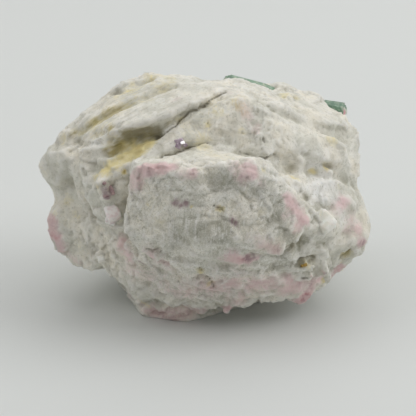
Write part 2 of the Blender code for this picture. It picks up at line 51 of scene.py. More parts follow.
# The view: where the camera aims, how far off it stands, how high, and half the width it takes in there
AIM = (0.8, -3.3, 24.3)
VIEW_DISTANCE = 420.0
VIEW_ELEVATION = 25.0
HALF_WIDTH = 50.19
HALF_PICTURE = 208
SENSOR = 36.0

# From where the lumps of the solid are laid out to the stone's own frame
SHIFT = (0.8, -3.3, -0.7)

# The skin: the fine mesh that carries the stone's surface, and the height to which its flat foot is calm
SKIN_CELL = 0.47
SKIN_SOFTENING = 2
MERGE_DISTANCE = 0.0005
FLAT_REACH = 1.5

# How many times a value is shared with its neighbours: for which way a place faces, and for the nearby and
# the wide middle surface that it is set against
FACING_ROUNDS = 8
NEAR_ROUNDS = 10
WIDE_ROUNDS = 60

# The broken skin. Cleaved crystals: size, height of a terrace, share of it that shows
COARSE = (10.0, 2.2, 0.20)
FINE = (4.2, 0.9, 0.09)

# Grains on tilted planes, then streaks, ledges, ribs and the lumps of the lip: size and depth
CHIP = (5.5, 0.52)
FLAKE = (2.4, 0.09)
GRAIN = (1.0, 0.03)
STREAK = (0.8, 0.05)
LAYER = (1.9, 0.18)
BAND = (3.0, 0.50)
FIBRES = (0.9, 0.10)
LIP = (4.0, 0.7)

# The way the layers of the upper left run and are stacked, how the bottom band's are stacked, and the way
# the fibres stand
LAYER_RUN = (0.84, 0.30, 0.45)
LAYER_STACKING = (0.30, -0.95, 0.08)
BAND_STACKING = (0.33, -0.15, 0.93)
FIBRE_RUN = (0.1, 0.2, 1)

# Parts of the stone that break in their own way: the middle and the reach of an ellipsoid, and for the calm
# parts how calm each is
LAYERED_PART = ((-19, 0, 47), (24, 16, 11))
FIBROUS_PART = ((1, -28, 28), (15, 9, 10))
BANDED_PART = ((3, -19, 12), (28, 14, 8))
LIP_PART = ((-6, -20, 3), (24, 12, 6))
CALM_PARTS = (
    ((-2, -27, 33), (22, 9, 15), 0.75),
    ((-12, -2, 51), (24, 16, 10), 1),
    ((0, -15, 45), (19, 8, 7), 1),
    ((2, -8, 49), (16, 8, 7), 1),
    ((25, 0, 40), (21, 20, 17), 1),
    ((35, -9, 27), (10, 13, 14), 1),
    ((-36, -4, 30), (10, 14, 16), 1),
)

# What is left of the broken relief where the stone is calm, and in the layers, and of the streaks where calm
CALM_SHARE = 0.22
LAYERED_SHARE = 0.4
STREAKS_LEFT = 0.5

# The freshly broken front, where the streaks are crisp
CRISP_PART = ((0, -28, 26), (38, 18, 27))

# Green columns of the back, as far as they lie bare: both ends of the axis and the radius. The feldspar is
# drawn back from them
GREEN_COLUMNS = (
    ((4.0, 20.4, 48.3), (14.6, 22.1, 44.9), 3.3),
    ((26.6, 20.1, 42.0), (33.1, 18.7, 41.4), 3.3),
    ((-7, 26.5, 42), (31, 24, 36.5), 4.6),
    ((-14, 28, 36), (32, 24, 29), 4.8),
    ((-18, 27, 29), (26, 27, 22), 4.4),
)

# Columns: how near the feldspar is drawn back and how far, the points round a column and the space between
# its rings, how far it stands proud of its radius, its bulge, the waves and depth of its furrows, the size
# and depth of its unevenness, and the rings of an end
COLUMN_GAP = 1.4
COLUMN_DRAWN_BACK = 1.0
COLUMN_SIDES = 96
COLUMN_STEP = 0.6
COLUMN_PROUD = 0.15
COLUMN_BULGE = 0.12
COLUMN_FURROWS = (9, 14, 23, 37)
COLUMN_FURROW_DEPTH = 0.9
COLUMN_WOBBLE = (1.2, 0.10)
COLUMN_CAP_RINGS = 12

# The broken end of a column: how far in it reaches, then size and depth of its chips and of its grains
END_REACH = 1.5
END_CHIP = (2.6, 1.1)
END_GRAIN = (1.0, 0.3)

# The grid of a block, how sharp its edges are, and how far out its cut corners lie
BLOCK_RINGS = 20
BLOCK_SIDES = 40
BLOCK_SHARPNESS = 12
CORNERS_KEPT = 0.72

# Blocks on the broken side, as seen: the place, half the width, height and depth, the turn against the clock
# in degrees, how far the middle is sunk, and how far the near face leans back in degrees
BLOCKS = (
    ((300, 269), (3.4, 0.8, 1.4), 8, 0.1, 20),
    ((300, 277), (3.9, 1.0, 1.2), 0, 0.0, 15),
    ((318, 250), (2.0, 0.9, 1.2), 25, 0.1, 10),
    ((324, 257), (0.9, 2.2, 1.5), -8, 0.2, 0),
    ((324, 267), (0.9, 2.2, 1.5), 14, 0.2, 0),
    ((274, 248), (2.4, 1.9, 0.8), -10, 0.1, 0),
    ((104, 257), (1.5, 1.2, 1.2), 20, 0.4, 20),
    ((228, 309), (0.9, 1.4, 1.2), -20, 0.3, 0),
    ((170, 131), (2.4, 0.9, 2.2), 34, 1.2, 0),
    ((181, 121), (2.6, 0.9, 2.2), 40, 1.2, 0),
    ((193, 112), (2.2, 0.9, 2.0), 34, 1.2, 0),
    ((222, 149), (3.2, 0.9, 1.8), -8, 1.3, 0),
    ((238, 153), (3.0, 0.8, 1.8), -14, 1.3, 0),
    ((205, 146), (2.6, 0.7, 1.6), 0, 1.2, 0),
    ((290, 160), (4.0, 1.6, 1.6), -20, 0.9, 0),
    ((318, 172), (3.5, 1.6, 1.6), -20, 0.9, 0),
)

# Crystals and grains of other kinds, in the same form
MAUVE_BLOCKS = (
    ((111.5, 190), (0.45, 1.25, 0.6), 24, 0.3, 0),
    ((106, 196), (0.7, 0.35, 0.5), 8, 0.35, 0),
    ((104, 183), (0.45, 0.4, 0.4), 14, 0.28, 0),
)
ROSE_BLOCKS = (
    ((113, 214), (1.7, 1.9, 1.5), 20, 0.5, 25),
    ((111, 219), (1.2, 1.2, 1.2), -15, 0.5, 20),
)
OCHRE_BLOCKS = (
    ((305, 265), (0.5, 0.35, 0.5), 20, 0.1, 0),
    ((302, 266), (0.35, 0.3, 0.4), -20, 0.1, 0),
)
LILAC_BLOCKS = (
    ((180, 142), (0.9, 0.8, 0.5), 20, 0.1, 0),
    ((178, 146), (0.7, 0.6, 0.5), -20, 0.1, 0),
    ((185, 145), (0.5, 0.5, 0.4), 40, 0.1, 0),
    ((176, 141), (0.4, 0.4, 0.4), 0, 0.1, 0),
)
SILVERY_BLOCKS = (
    ((182.5, 142.5), (0.55, 0.6, 0.12), 12, -0.38, 45),
)
WHITE_BLOCKS = (
    ((324.5, 222), (2.1, 2.4, 1.5), 41, 0.9, 24),
    ((101, 259), (0.8, 0.7, 0.8), 15, 0.45, 20),
)

# Cracks as seen: half width, depth, and the line they follow
CRACKS = (
    (0.4, 0.8, ((156, 136), (162, 134), (168, 129), (174, 125), (181, 119), (190, 112), (205, 105),
                (216, 98), (225, 90))),
    (0.3, 0.6, ((160, 157), (172, 154), (182, 150), (190, 147), (205, 142), (215, 145))),
    (0.3, 0.6, ((240, 152), (248, 154), (255, 157), (265, 157), (275, 154))),
    (0.3, 0.35, ((214, 205), (219, 208), (225, 212))),
    (0.25, 0.35, ((155, 250), (158, 252), (161, 253))),
    (0.3, 0.35, ((195, 267), (203, 273), (209, 279), (213, 286))),
    (0.25, 0.3, ((193, 277), (200, 279), (206, 278))),
    (0.5, 0.9, ((297, 263), (301, 260), (307, 258), (313, 258))),
    (0.35, 0.6, ((301, 278), (304, 279), (307, 280))),
    (0.4, 0.6, ((340, 259), (345, 255), (351, 250))),
    (0.3, 0.4, ((240, 129), (243, 134))),
    (0.3, 0.3, ((263, 136), (264, 141))),
    (0.3, 0.3, ((208, 122), (210, 126))),
)

# Fine healed lines as seen, in the same form
VEINS = (
    (0.3, 0.25, ((172, 200), (185, 203), (197, 205), (206, 209), (216, 213), (227, 219), (242, 224))),
    (0.3, 0.25, ((208, 244), (215, 237), (223, 230), (235, 226))),
    (0.3, 0.25, ((145, 250), (158, 249), (168, 253), (178, 255))),
    (0.3, 0.2, ((185, 202), (202, 196), (220, 190), (229, 188))),
    (0.25, 0.2, ((216, 248), (226, 249), (235, 251), (246, 257))),
    (0.25, 0.2, ((256, 196), (264, 203), (270, 212), (279, 221))),
    (0.25, 0.2, ((136, 262), (141, 258), (147, 262), (152, 268))),
    (0.25, 0.2, ((160, 274), (176, 277), (190, 283), (200, 293))),
)

# Furrows as seen, in the same form
FURROWS = (
    (1.1, 0.75, ((57, 142), (70, 137), (88, 126), (104, 117), (130, 105), (150, 96), (175, 86))),
    (0.9, 0.7, ((90, 137), (104, 131), (117, 126))),
    (1.0, 0.6, ((112, 93), (124, 92), (136, 86), (150, 80))),
    (0.7, 0.5, ((72, 150), (86, 144), (100, 141))),
    (0.7, 0.7, ((113, 152), (120, 147), (129, 141), (140, 138), (150, 137), (158, 135))),
    (0.3, 0.3, ((284, 276), (292, 273), (302, 272), (312, 273), (317, 276))),
    (0.3, 0.3, ((284, 277), (292, 281), (302, 283), (312, 281), (317, 277))),
    (1.0, 0.2, ((256, 94), (263, 103), (274, 110), (288, 117), (303, 124))),
    (0.35, 0.35, ((126, 232), (145, 228), (164, 223), (181, 218), (202, 217), (219, 217), (235, 224))),
    (0.35, 0.3, ((195, 234), (203, 228), (212, 223), (227, 219))),
    (0.35, 0.3, ((150, 182), (158, 192), (160, 205), (156, 215))),
    (0.35, 0.3, ((170, 180), (176, 188), (190, 195), (205, 198))),
    (0.35, 0.3, ((236, 188), (246, 196), (252, 208), (262, 218))),
    (0.35, 0.3, ((165, 262), (185, 268), (205, 270), (228, 278))),
    (0.8, 0.3, ((206, 195), (222, 192), (232, 188))),
    (1.0, 0.5, ((148, 250), (162, 256), (180, 258), (205, 262), (225, 266))),
    (0.9, 0.45, ((165, 282), (185, 284), (205, 290), (222, 296))),
    (0.8, 0.35, ((236, 268), (252, 272), (270, 270), (284, 266))),
    (0.9, 0.8, ((142, 305), (158, 303), (176, 306), (192, 304), (206, 303))),
    (0.9, 0.4, ((83, 186), (88, 208), (98, 224), (110, 234))),
    (1.0, 0.5, ((118, 245), (128, 262), (140, 276), (150, 290))),
)

# All the lines, with how dark each kind is: painted shade in open cracks and furrows, the own dark of healed
# veins
LINES = ((CRACKS, 1.0), (VEINS, 0.6), (FURROWS, 0.25))

# Hollows as seen: the place, the radius, the depth and how dark, that dark being painted shade
HOLES = (
    (263, 139, 0.5, 0.6, 0.9), (300, 243, 2.2, 0.7, 0), (329, 243, 1.6, 0.5, 0), (180, 238, 2.4, 0.3, 0),
    (215, 184, 2.2, 0.35, 0), (116, 126, 0.8, 0.5, 0), (290, 168, 2.6, 0.5, 0), (343, 247, 1.5, 0.4, 0),
    (126, 200, 1.3, 0.5, 0), (272, 222, 1.4, 0.3, 0), (304, 279, 0.9, 0.7, 1.3), (228, 189, 0.3, 0.2, 0.6),
    (191, 205, 0.25, 0.2, 0.6), (242, 131, 0.3, 0.4, 0.5), (158, 318, 1.8, 0.9, 0), (183, 321, 1.6, 0.8, 0),
    (207, 313, 1.6, 0.7, 0), (294, 298, 0.35, 0.3, 0.7), (218, 307, 2.0, 2.0, 0.4),
)

# Calm spots and then stains, as seen, with painted shade in the olive ones and painted light in the white
# ones: the place, the reach and the strength
CALM = (
    (290, 286, 22, 0.9), (310, 282, 12, 0.6), (274, 248, 14, 0.9), (343, 212, 16, 0.8), (300, 240, 10, 0.5),
    (322, 262, 8, 0.7), (300, 208, 12, 0.6), (80, 250, 16, 0.6), (250, 285, 16, 0.4),
)
ROSE = (
    (143, 168, 8, 0.8), (154, 167, 8, 1.2), (164, 167, 7, 0.9), (173, 166, 6, 0.5), (192, 174, 6, 0.7),
    (182, 174, 6, 0.35), (131, 176, 7, 0.6), (135, 188, 7, 0.45), (142, 180, 10, 0.25), (178, 100, 7, 0.3),
    (243, 106, 11, 0.35), (250, 117, 9, 0.3), (256, 129, 7, 0.45), (232, 92, 8, 0.25), (258, 86, 9, 0.2),
    (245, 164, 9, 0.5), (254, 172, 7, 0.8), (243, 178, 8, 0.5), (262, 182, 7, 0.4), (232, 168, 8, 0.25),
    (285, 196, 6, 0.7), (291, 202, 6, 1.0), (298, 210, 6, 1.2), (304, 218, 5, 1.3), (309, 224, 4, 0.8),
    (298, 226, 7, 0.7), (288, 216, 9, 0.4), (343, 201, 8, 0.8), (352, 215, 10, 0.35), (347, 228, 11, 0.3),
    (334, 210, 8, 0.3), (358, 228, 7, 0.6), (361, 241, 6, 1.0), (340, 268, 6, 1.2), (332, 276, 7, 0.6),
    (322, 272, 5, 0.6), (303, 299, 6, 1.4), (308, 295, 5, 1.1), (296, 302, 6, 1.1), (310, 288, 7, 0.6),
    (318, 280, 8, 0.5), (300, 286, 12, 0.6), (286, 290, 12, 0.6), (270, 285, 12, 0.5), (254, 283, 10, 0.4),
    (287, 278, 6, 0.4), (274, 248, 9, 0.55), (262, 244, 8, 0.4), (290, 273, 2, 0.9), (300, 272, 2, 0.7),
    (290, 281, 2, 1.0), (301, 283, 2, 0.8), (312, 281, 2, 0.8), (246, 259, 5, 0.8), (256, 258, 5, 0.7),
    (236, 258, 7, 0.4), (170, 285, 30, 0.25), (230, 285, 30, 0.3), (130, 268, 24, 0.25),
    (252, 238, 18, 0.15), (90, 250, 20, 0.15), (313, 275, 4, 0.5), (228, 256, 10, 0.45), (240, 260, 7, 0.6),
    (228, 308, 6, 0.9), (240, 300, 10, 0.45), (212, 288, 12, 0.35), (186, 296, 12, 0.2), (120, 244, 8, 0.6),
    (128, 255, 7, 0.5), (150, 254, 9, 0.5), (163, 260, 8, 0.35), (50, 222, 8, 1.1), (54, 237, 8, 1.4),
    (62, 250, 9, 0.6), (75, 262, 9, 0.35), (112, 278, 10, 0.5), (130, 294, 10, 0.4), (148, 312, 12, 0.5),
    (164, 314, 13, 0.5), (182, 315, 13, 0.5), (200, 311, 12, 0.5), (330, 285, 10, 0.4), (113, 213, 6, 0.5),
    (232, 284, 8, 0.3), (105, 182, 3.5, 1.0), (126, 170, 5, 0.5),
)
MAUVE = (
    (181, 142, 6, 0.4), (173, 202, 3, 1.1), (179, 205, 2.5, 0.8), (185, 203, 3, 1.1), (186, 206, 2, 0.6),
    (180, 203, 8, 0.3), (233, 218, 2.5, 0.9), (237, 222, 2.5, 0.9), (240, 226, 2.5, 0.7),
    (236, 221, 7, 0.3), (247, 258, 3, 0.65), (252, 256, 2.5, 0.6), (256, 260, 2.5, 0.6), (251, 258, 7, 0.3),
    (139, 260, 3, 0.9), (143, 263, 2.5, 0.8), (112, 190, 4, 1.0), (106, 196, 4, 0.9), (106, 185, 6, 0.5),
    (103, 190, 5, 0.4), (50, 226, 12, 0.4), (362, 241, 6, 0.6), (166, 314, 18, 0.3), (196, 312, 12, 0.25),
    (303, 300, 6, 0.6), (280, 292, 20, 0.15), (225, 254, 16, 0.15), (190, 272, 40, 0.1),
    (308, 284, 14, 0.25), (336, 270, 8, 0.2), (246, 178, 9, 0.3), (274, 249, 10, 0.2), (218, 207, 2, 0.5),
)
OCHRE = (
    (97, 175, 7, 0.5), (104, 170, 8, 0.7), (112, 164, 9, 0.55), (121, 158, 9, 0.55), (130, 152, 9, 0.65),
    (139, 147, 8, 1.1), (148, 143, 6, 1.1), (156, 140, 5, 0.8), (112, 152, 6, 0.7), (122, 147, 6, 0.8),
    (132, 143, 5, 0.8), (95, 130, 22, 0.25), (130, 105, 22, 0.25), (104, 117, 4, 0.4), (112, 113, 4, 0.35),
    (96, 121, 4, 0.35), (98, 134, 4, 0.5), (110, 128, 4, 0.5), (160, 90, 20, 0.2), (134, 158, 8, 0.35),
    (124, 166, 8, 0.35), (116, 138, 8, 0.35), (130, 134, 7, 0.25), (146, 133, 6, 0.25), (168, 125, 5, 0.3),
    (180, 118, 5, 0.35), (62, 140, 7, 0.45), (78, 132, 7, 0.5), (92, 124, 7, 0.5), (116, 110, 9, 0.3),
    (132, 88, 8, 0.5), (152, 77, 10, 0.6), (170, 79, 8, 0.3), (118, 94, 7, 0.4), (190, 130, 14, 0.35),
    (216, 106, 14, 0.4), (243, 104, 14, 0.3), (208, 124, 4, 0.6), (242, 131, 4, 0.5), (200, 148, 16, 0.3),
    (225, 158, 14, 0.25), (126, 171, 2.5, 1.9), (67, 198, 8, 0.5), (55, 212, 6, 0.4), (98, 187, 5, 0.8),
    (120, 222, 4, 0.5), (268, 87, 5, 0.7), (286, 95, 8, 0.55), (296, 98, 5, 0.5), (333, 139, 7, 0.7),
    (325, 167, 4, 1.2), (313, 170, 4, 1.1), (294, 178, 6, 0.8), (264, 169, 4, 0.5), (219, 208, 3, 0.6),
    (223, 211, 2.5, 0.6), (191, 205, 2, 1.2), (203, 273, 5, 0.7), (211, 282, 4, 0.8), (144, 304, 6, 0.5),
    (306, 264, 4, 0.8), (346, 254, 6, 0.7), (321, 282, 3, 1.1), (343, 262, 3, 0.7), (151, 205, 3, 0.6),
    (80, 246, 12, 0.3), (98, 266, 12, 0.25), (75, 160, 14, 0.15), (340, 186, 6, 0.35), (200, 270, 3, 0.7),
    (264, 212, 6, 0.25), (319, 211, 4, 0.5), (76, 214, 5, 0.4), (160, 222, 6, 0.2),
)
GLASS = (
    (180, 237, 13, 0.9), (200, 231, 12, 0.9), (218, 233, 12, 1.1), (172, 247, 9, 0.6), (256, 237, 8, 0.5),
    (274, 224, 10, 0.7), (300, 243, 10, 1.4), (288, 241, 9, 1.1), (327, 243, 7, 0.9), (214, 180, 9, 0.7),
    (222, 185, 9, 0.8), (229, 178, 8, 0.6), (290, 167, 11, 0.5), (47, 166, 10, 0.4), (57, 176, 10, 0.4),
    (150, 196, 12, 0.4), (86, 165, 12, 0.3), (85, 190, 14, 0.25), (88, 225, 14, 0.3), (225, 284, 14, 0.4),
    (220, 236, 9, 0.5), (322, 250, 7, 0.5), (316, 268, 14, 0.3), (336, 255, 9, 0.3), (180, 275, 12, 0.35),
    (126, 205, 8, 0.5), (165, 185, 9, 0.3), (245, 205, 10, 0.4), (190, 290, 12, 0.25), (240, 190, 8, 0.5),
    (265, 205, 8, 0.5), (235, 245, 10, 0.5), (284, 232, 8, 0.7), (278, 214, 8, 0.5), (246, 174, 8, 0.4),
)
# Olive-brown stains in pits and cracks, and painted shade under the upper slab's lip, in the slot below the
# curved rib and at the lower right
OLIVE = (
    (219, 207, 1.5, 0.8), (221.5, 209, 1.5, 0.8), (223.5, 210.5, 1.2, 0.6), (191, 205, 1.2, 0.5),
    (125, 134, 6, 0.7), (135, 132, 6, 0.8), (146, 130, 6, 0.8), (157, 128, 6, 0.7), (166, 123, 4, 0.5),
    (117, 144, 6, 0.8), (128, 140, 6, 0.8), (140, 137, 6, 0.8), (152, 135, 5, 0.7), (112, 112, 6, 0.4),
    (120, 109, 6, 0.35), (103, 117, 6, 0.4), (95, 122, 6, 0.35), (87, 127, 6, 0.35), (78, 132, 6, 0.35),
    (70, 137, 6, 0.3), (130, 105, 6, 0.3), (98, 134, 6, 0.4), (106, 130, 6, 0.4), (114, 127, 6, 0.35),
    (124, 92, 5, 0.25), (136, 86, 5, 0.3), (107, 154, 5, 0.5), (178, 112, 4, 0.5), (190, 105, 4, 0.5),
    (302, 261, 5, 1.0), (310, 261, 4, 0.9), (298, 264, 3, 0.7), (300, 241, 7, 0.6), (292, 246, 5, 0.5),
    (346, 254, 5, 0.5), (215, 184, 6, 0.4), (228, 188, 4, 0.4), (200, 270, 4, 0.5), (207, 279, 4, 0.5),
    (196, 276, 3, 0.4), (143, 250, 5, 0.3), (324, 245, 4, 0.5), (260, 172, 3, 0.3), (159, 302, 4, 0.6),
    (198, 302, 4, 0.5), (287, 276, 2, 0.4), (300, 283, 2, 0.4), (310, 274, 2, 0.4), (218, 304, 5, 0.5),
    (284, 234, 14, 0.5), (290, 248, 8, 0.4), (276, 250, 8, 0.2),
)
# White feldspar grains, and painted light on the right face, the low left of the upper slab and the left
# edge of the front block
WHITE = (
    (324, 256, 5, 0.4), (324, 267, 5, 0.35), (340, 205, 12, 0.4), (345, 222, 12, 0.5), (318, 240, 4, 0.3),
    (307, 269, 5, 0.5), (262, 158, 7, 0.7), (272, 164, 8, 0.7), (278, 178, 8, 0.5), (298, 186, 12, 0.8),
    (318, 192, 14, 0.8), (322, 160, 14, 0.4), (300, 172, 8, 0.4), (160, 110, 10, 0.3), (95, 140, 12, 1.0),
    (80, 150, 10, 0.4), (186, 187, 8, 0.3), (250, 195, 8, 0.3), (108, 150, 5, 0.2), (240, 148, 8, 0.3),
    (310, 215, 5, 0.4), (113, 214, 6, 0.9), (144, 172, 6, 0.6), (116, 163, 6, 0.4), (322, 176, 16, 0.5),
    (336, 190, 14, 0.5), (306, 168, 12, 0.4), (122, 158, 8, 0.5), (132, 152, 6, 0.3),
)

# Crystals as seen: name, places, seed, how far out the cut corners lie, and the finish: name, light and dark
# tone, roughness, how deep light goes in, and how silvery
CRYSTALS = (
    ("mauve_crystals", MAUVE_BLOCKS, 100, CORNERS_KEPT,
     ("mauve_tourmaline_cloudy", "#BFA3A2", "#795B60", 0.5, 0.25, 0)),
    ("rose_crystal", ROSE_BLOCKS, 120, CORNERS_KEPT,
     ("rose_tourmaline_milky", "#FAF3EF", "#EAD9D7", 0.4, 0.4, 0)),
    ("ochre_grains", OCHRE_BLOCKS, 130, CORNERS_KEPT,
     ("iron_stained_grain", "#C39F4E", "#75602F", 0.6, 0, 0)),
    ("lilac_mica", LILAC_BLOCKS, 140, CORNERS_KEPT,
     ("lilac_mica_scaly", "#C9B9C4", "#8F7889", 0.35, 0.1, 0)),
    ("silvery_mica", SILVERY_BLOCKS, 150, CORNERS_KEPT,
     ("silvery_mica_flake", "#F8F6F8", "#EDE8EE", 0.2, 0, 0.9)),
    ("white_grains", WHITE_BLOCKS, 160, 1.0,
     ("milky_feldspar_cleaved", "#FBF8F0", "#ECE8DC", 0.55, 0.35, 0)),
)

# The light: the room's own, then lamps with their place, width and power in watts
ROOM_COLOUR = "#F1F2F1"
ROOM_STRENGTH = 0.35
LAMPS = (
    ("overhead", (60, 300, 720), 1000, 2.75),
    ("from_the_right", (740, -20, 610), 700, 3.1),
    ("from_the_left", (-680, -40, 640), 700, 1.6),
)

# How finely the bend of the ground is drawn
BEND_STEPS = 24

# What a range with soft ends is given: a value, where it starts and is full, and what it makes of those two
RANGE = ("Value", "From Min", "From Max", "To Min", "To Max")


def unit(vector):
    """A direction with a length of one."""
    return np.array(vector, float) / np.linalg.norm(vector)


def smooth_step(values, low, high):
    """0 below low, 1 above high, and three squares less two cubes between."""
    share = np.clip((values - low) / (high - low), 0, 1)
    return share * share * (3 - 2 * share)


def lattice_noise(points, cell, seed):
    """Smooth noise from -1 to 1: random values on a cubic lattice, blended between a cell's corners."""
    scaled = points / cell
    low = np.floor(scaled).astype(int)
    part = scaled - low
    blend = part * part * (3 - 2 * part)
    size = 32
    values = np.random.default_rng(seed).uniform(-1, 1, (size, size, size))
    total = np.zeros(len(points))
    for corner in itertools.product((0, 1), repeat=3):
        weight = np.prod(np.where(corner, blend, 1 - blend), axis=1)
        i, j, k = ((low + corner) % size).T
        total += weight * values[i, j, k]
    return total


def octaves(points, cell, seed, count=3):
    """Noise on several scales: each octave has half the cell and half the height of the one before it."""
    total = np.zeros(len(points))
    for octave in range(count):
        total += 0.5 ** octave * lattice_noise(points, cell / 2 ** octave, seed + octave)
    return total


def drift(points, cell, seed, reach):
    """The points moved about by smooth noise, so that what is worked out from them has ragged outlines."""
    moves = [octaves(points, cell, seed + 10 * axis, 2) for axis in range(3)]
    return points + reach * np.stack(moves, axis=1)


def drawn_out(points, direction, times):
    """Space squeezed along a direction, one for all points or one for each, so that a pattern worked out in
    it is drawn out along that direction."""
    along = (points * direction).sum(axis=1)
    return points - (1 - 1 / times) * along[:, None] * direction


def grains(points, size, seed):
    """Broken grains. Space is shared among centres, one put at random in each cell of a cubic grid, and a
    point belongs to the nearest. Gives its place from that centre, how much nearer that centre is than the
    next, and four numbers from -1 to 1 drawn for the grain."""
    scaled = points / size
    home = np.floor(scaled).astype(int)
    table_size = 24
    table = np.random.default_rng(seed).random((table_size, table_size, table_size, 7))
    first = np.full(len(points), np.inf)
    second = np.full(len(points), np.inf)
    offset = np.zeros((len(points), 3))
    drawn = np.zeros((len(points), 4))
    for step in itertools.product((-1, 0, 1), repeat=3):
        cell = home + step
        i, j, k = (cell % table_size).T
        random = table[i, j, k]
        away = scaled - cell - random[:, :3]
        distance = np.linalg.norm(away, axis=1)
        nearer = distance < first
        second = np.where(nearer, first, np.minimum(second, distance))
        first = np.where(nearer, distance, first)
        offset = np.where(nearer[:, None], away, offset)
        drawn = np.where(nearer[:, None], 2 * random[:, 3:] - 1, drawn)
    return offset, second - first, drawn


def rows(vectors):
    """Every row of an array drawn out or in to a length of one."""
    return vectors / np.maximum(np.linalg.norm(vectors, axis=1, keepdims=True), 1e-6)


def tilted(points, size, seed):
    """How high each point is on its grain's own tilted plane, from about -0.5 to 0.5."""
    offset, _, drawn = grains(points, size, seed)
    return (offset * rows(drawn[:, :3])).sum(axis=1)


def cleaved(points, facing, size, seed):
    """The three cleavage directions of each point's crystal, at right angles to each other, from the unit
    quaternion drawn for the crystal. Gives the one that faces the most outwards, the one after it, and how
    squarely the first faces out."""
    _, _, drawn = grains(points, size, seed)
    w, x, y, z = rows(drawn).T
    axes = np.stack([
        np.stack([1 - 2 * (y * y + z * z), 2 * (x * y - z * w), 2 * (x * z + y * w)], axis=1),
        np.stack([2 * (x * y + z * w), 1 - 2 * (x * x + z * z), 2 * (y * z - x * w)], axis=1),
        np.stack([2 * (x * z - y * w), 2 * (y * z + x * w), 1 - 2 * (x * x + y * y)], axis=1),
    ], axis=1)
    outwards = (axes * facing[:, None]).sum(axis=2)
    best = np.abs(outwards).argmax(axis=1)
    each = np.arange(len(points))
    return axes[each, best], axes[each, (best + 1) % 3], outwards[each, best]


def terraces(points, facing, crystal, seed):
    """Flat treads and sharp risers, as cleavage leaves them, and the way they run. A point moves outwards by
    a share of the way that brings its height along the cleavage direction to the middle of its step. Noise
    added to the height makes the steps uneven."""
    size, step, share = crystal
    across, run, squareness = cleaved(points, facing, size, seed)
    level = (points * across).sum(axis=1) / step + 0.6 * lattice_noise(points, 0.4 * size, seed + 1)
    return share * (0.5 - (level - np.floor(level))) * step / squareness, run


def within(points, part):
    """1 at the middle of an ellipsoid, falling to 0 at its surface."""
    middle, reach = part
    away = np.linalg.norm((points - middle) / reach, axis=1)
    return smooth_step(1 - away, 0, 0.6)


def distance_to_route(points, route):
    """How far each point is from the line drawn through the route's corners."""
    nearest = np.full(len(points), np.inf)
    for start, end in itertools.pairwise(np.array(route, float)):
        run = end - start
        along = np.clip((points - start) @ run / (run @ run), 0, 1)
        nearest = np.minimum(nearest, np.linalg.norm(points - start - along[:, None] * run, axis=1))
    return nearest


def saw_tooth(height):
    """Ledges: a slow rise from -0.5 to 0.5 and a quick fall back, once for each unit of height."""
    share = height - np.floor(height)
    return np.where(share < 0.8, share / 0.8, (1 - share) / 0.2) - 0.5


def camera_place():
    """Where the camera stands, and the directions behind it, to its right and above it."""
    elevation = math.radians(VIEW_ELEVATION)
    back = Vector((0, -math.cos(elevation), math.sin(elevation)))
    right = Vector((1, 0, 0))
    above = back.cross(right)
    return Vector(AIM) + back * VIEW_DISTANCE, back, right, above


def seen(thing, across, down):
    """The point of a thing that is seen at a place in the picture, or None beside the thing."""
    camera, back, right, above = camera_place()
    half = HALF_WIDTH / HALF_PICTURE
    ray = -back * VIEW_DISTANCE + half * (right * (across - HALF_PICTURE) + above * (HALF_PICTURE - down))
    hit, place, _, _ = thing.ray_cast(camera * MM, ray.normalized())
    return np.array(place) / MM if hit else None


def seen_route(thing, corners, gap=4.0, nudge=1e-4):
    """The line on a thing that is seen through some places, with a corner about every four 416ths, each
    nudged a little further than the one before it, so that no two are the same."""
    route = []
    for start, end in itertools.pairwise(np.array(corners, float)):
        for share in np.linspace(0, 1, max(2, int(np.linalg.norm(end - start) / gap) + 1)):
            place = seen(thing, *(start + share * (end - start)))
            if place is not None:
                route.append(place + (nudge * len(route), 0, 0))
    return route


def patches(thing, points, places):
    """How strongly each point is stained: for each place its strength, times e to the minus square of how
    many reaches away the point is, all added up."""
    amount = np.zeros(len(points))
    for across, down, reach, strength in places:
        middle = seen(thing, across, down)
        if middle is not None:
            away = ((points - middle) ** 2).sum(axis=1) / (reach * HALF_WIDTH / HALF_PICTURE) ** 2
            amount += strength * np.exp(-away)
    return amount


def neighbour_mean(values, edges, times):
    """Each vertex's mean over itself and the vertices that share an edge with it, taken several times."""
    count = len(values)
    a, b = edges.T
    degree = np.bincount(a, minlength=count) + np.bincount(b, minlength=count) + 1
    columns = values.reshape(count, -1).T
    for _ in range(times):
        columns = [column + np.bincount(a, column[b], count) + np.bincount(b, column[a], count)
                   for column in columns]
        columns = [column / degree for column in columns]
    return np.stack(columns, axis=1).reshape(values.shape)


def read_mesh(mesh):
    """Vertices in millimetres, unit normals and edges, as arrays."""
    count = len(mesh.vertices)
    points = np.empty(count * 3)
    normals = np.empty(count * 3)
    edges = np.empty(len(mesh.edges) * 2, int)
    mesh.vertices.foreach_get("co", points)
    mesh.vertices.foreach_get("normal", normals)
    mesh.edges.foreach_get("vertices", edges)
    return points.reshape(-1, 3) / MM, normals.reshape(-1, 3), edges.reshape(-1, 2)


def write_points(mesh, points):
    """Puts points in millimetres back into a mesh."""
    mesh.vertices.foreach_set("co", (points * MM).ravel())
    mesh.update()


def paint(mesh, **masks):
    """Keeps masks on the mesh as vertex attributes that its material reads by name."""
    for name, values in masks.items():
        mesh.attributes.new(name, "FLOAT", "POINT").data.foreach_set("value", values.astype(np.float32))


def shade_smooth(mesh):
    mesh.polygons.foreach_set("use_smooth", np.ones(len(mesh.polygons), bool))


def column_depth(points):
    """How far each point is inside a green column, in millimetres, and less than 0 outside all of them."""
    deepest = np.full(len(points), -np.inf)
    for start, end, radius in GREEN_COLUMNS:
        low = np.array(start) + SHIFT
        run = np.array(end, float) - start
        along = np.clip((points - low) @ run / (run @ run), 0, 1)
        away = np.linalg.norm(points - low - along[:, None] * run, axis=1)
        deepest = np.maximum(deepest, radius - away)
    return deepest


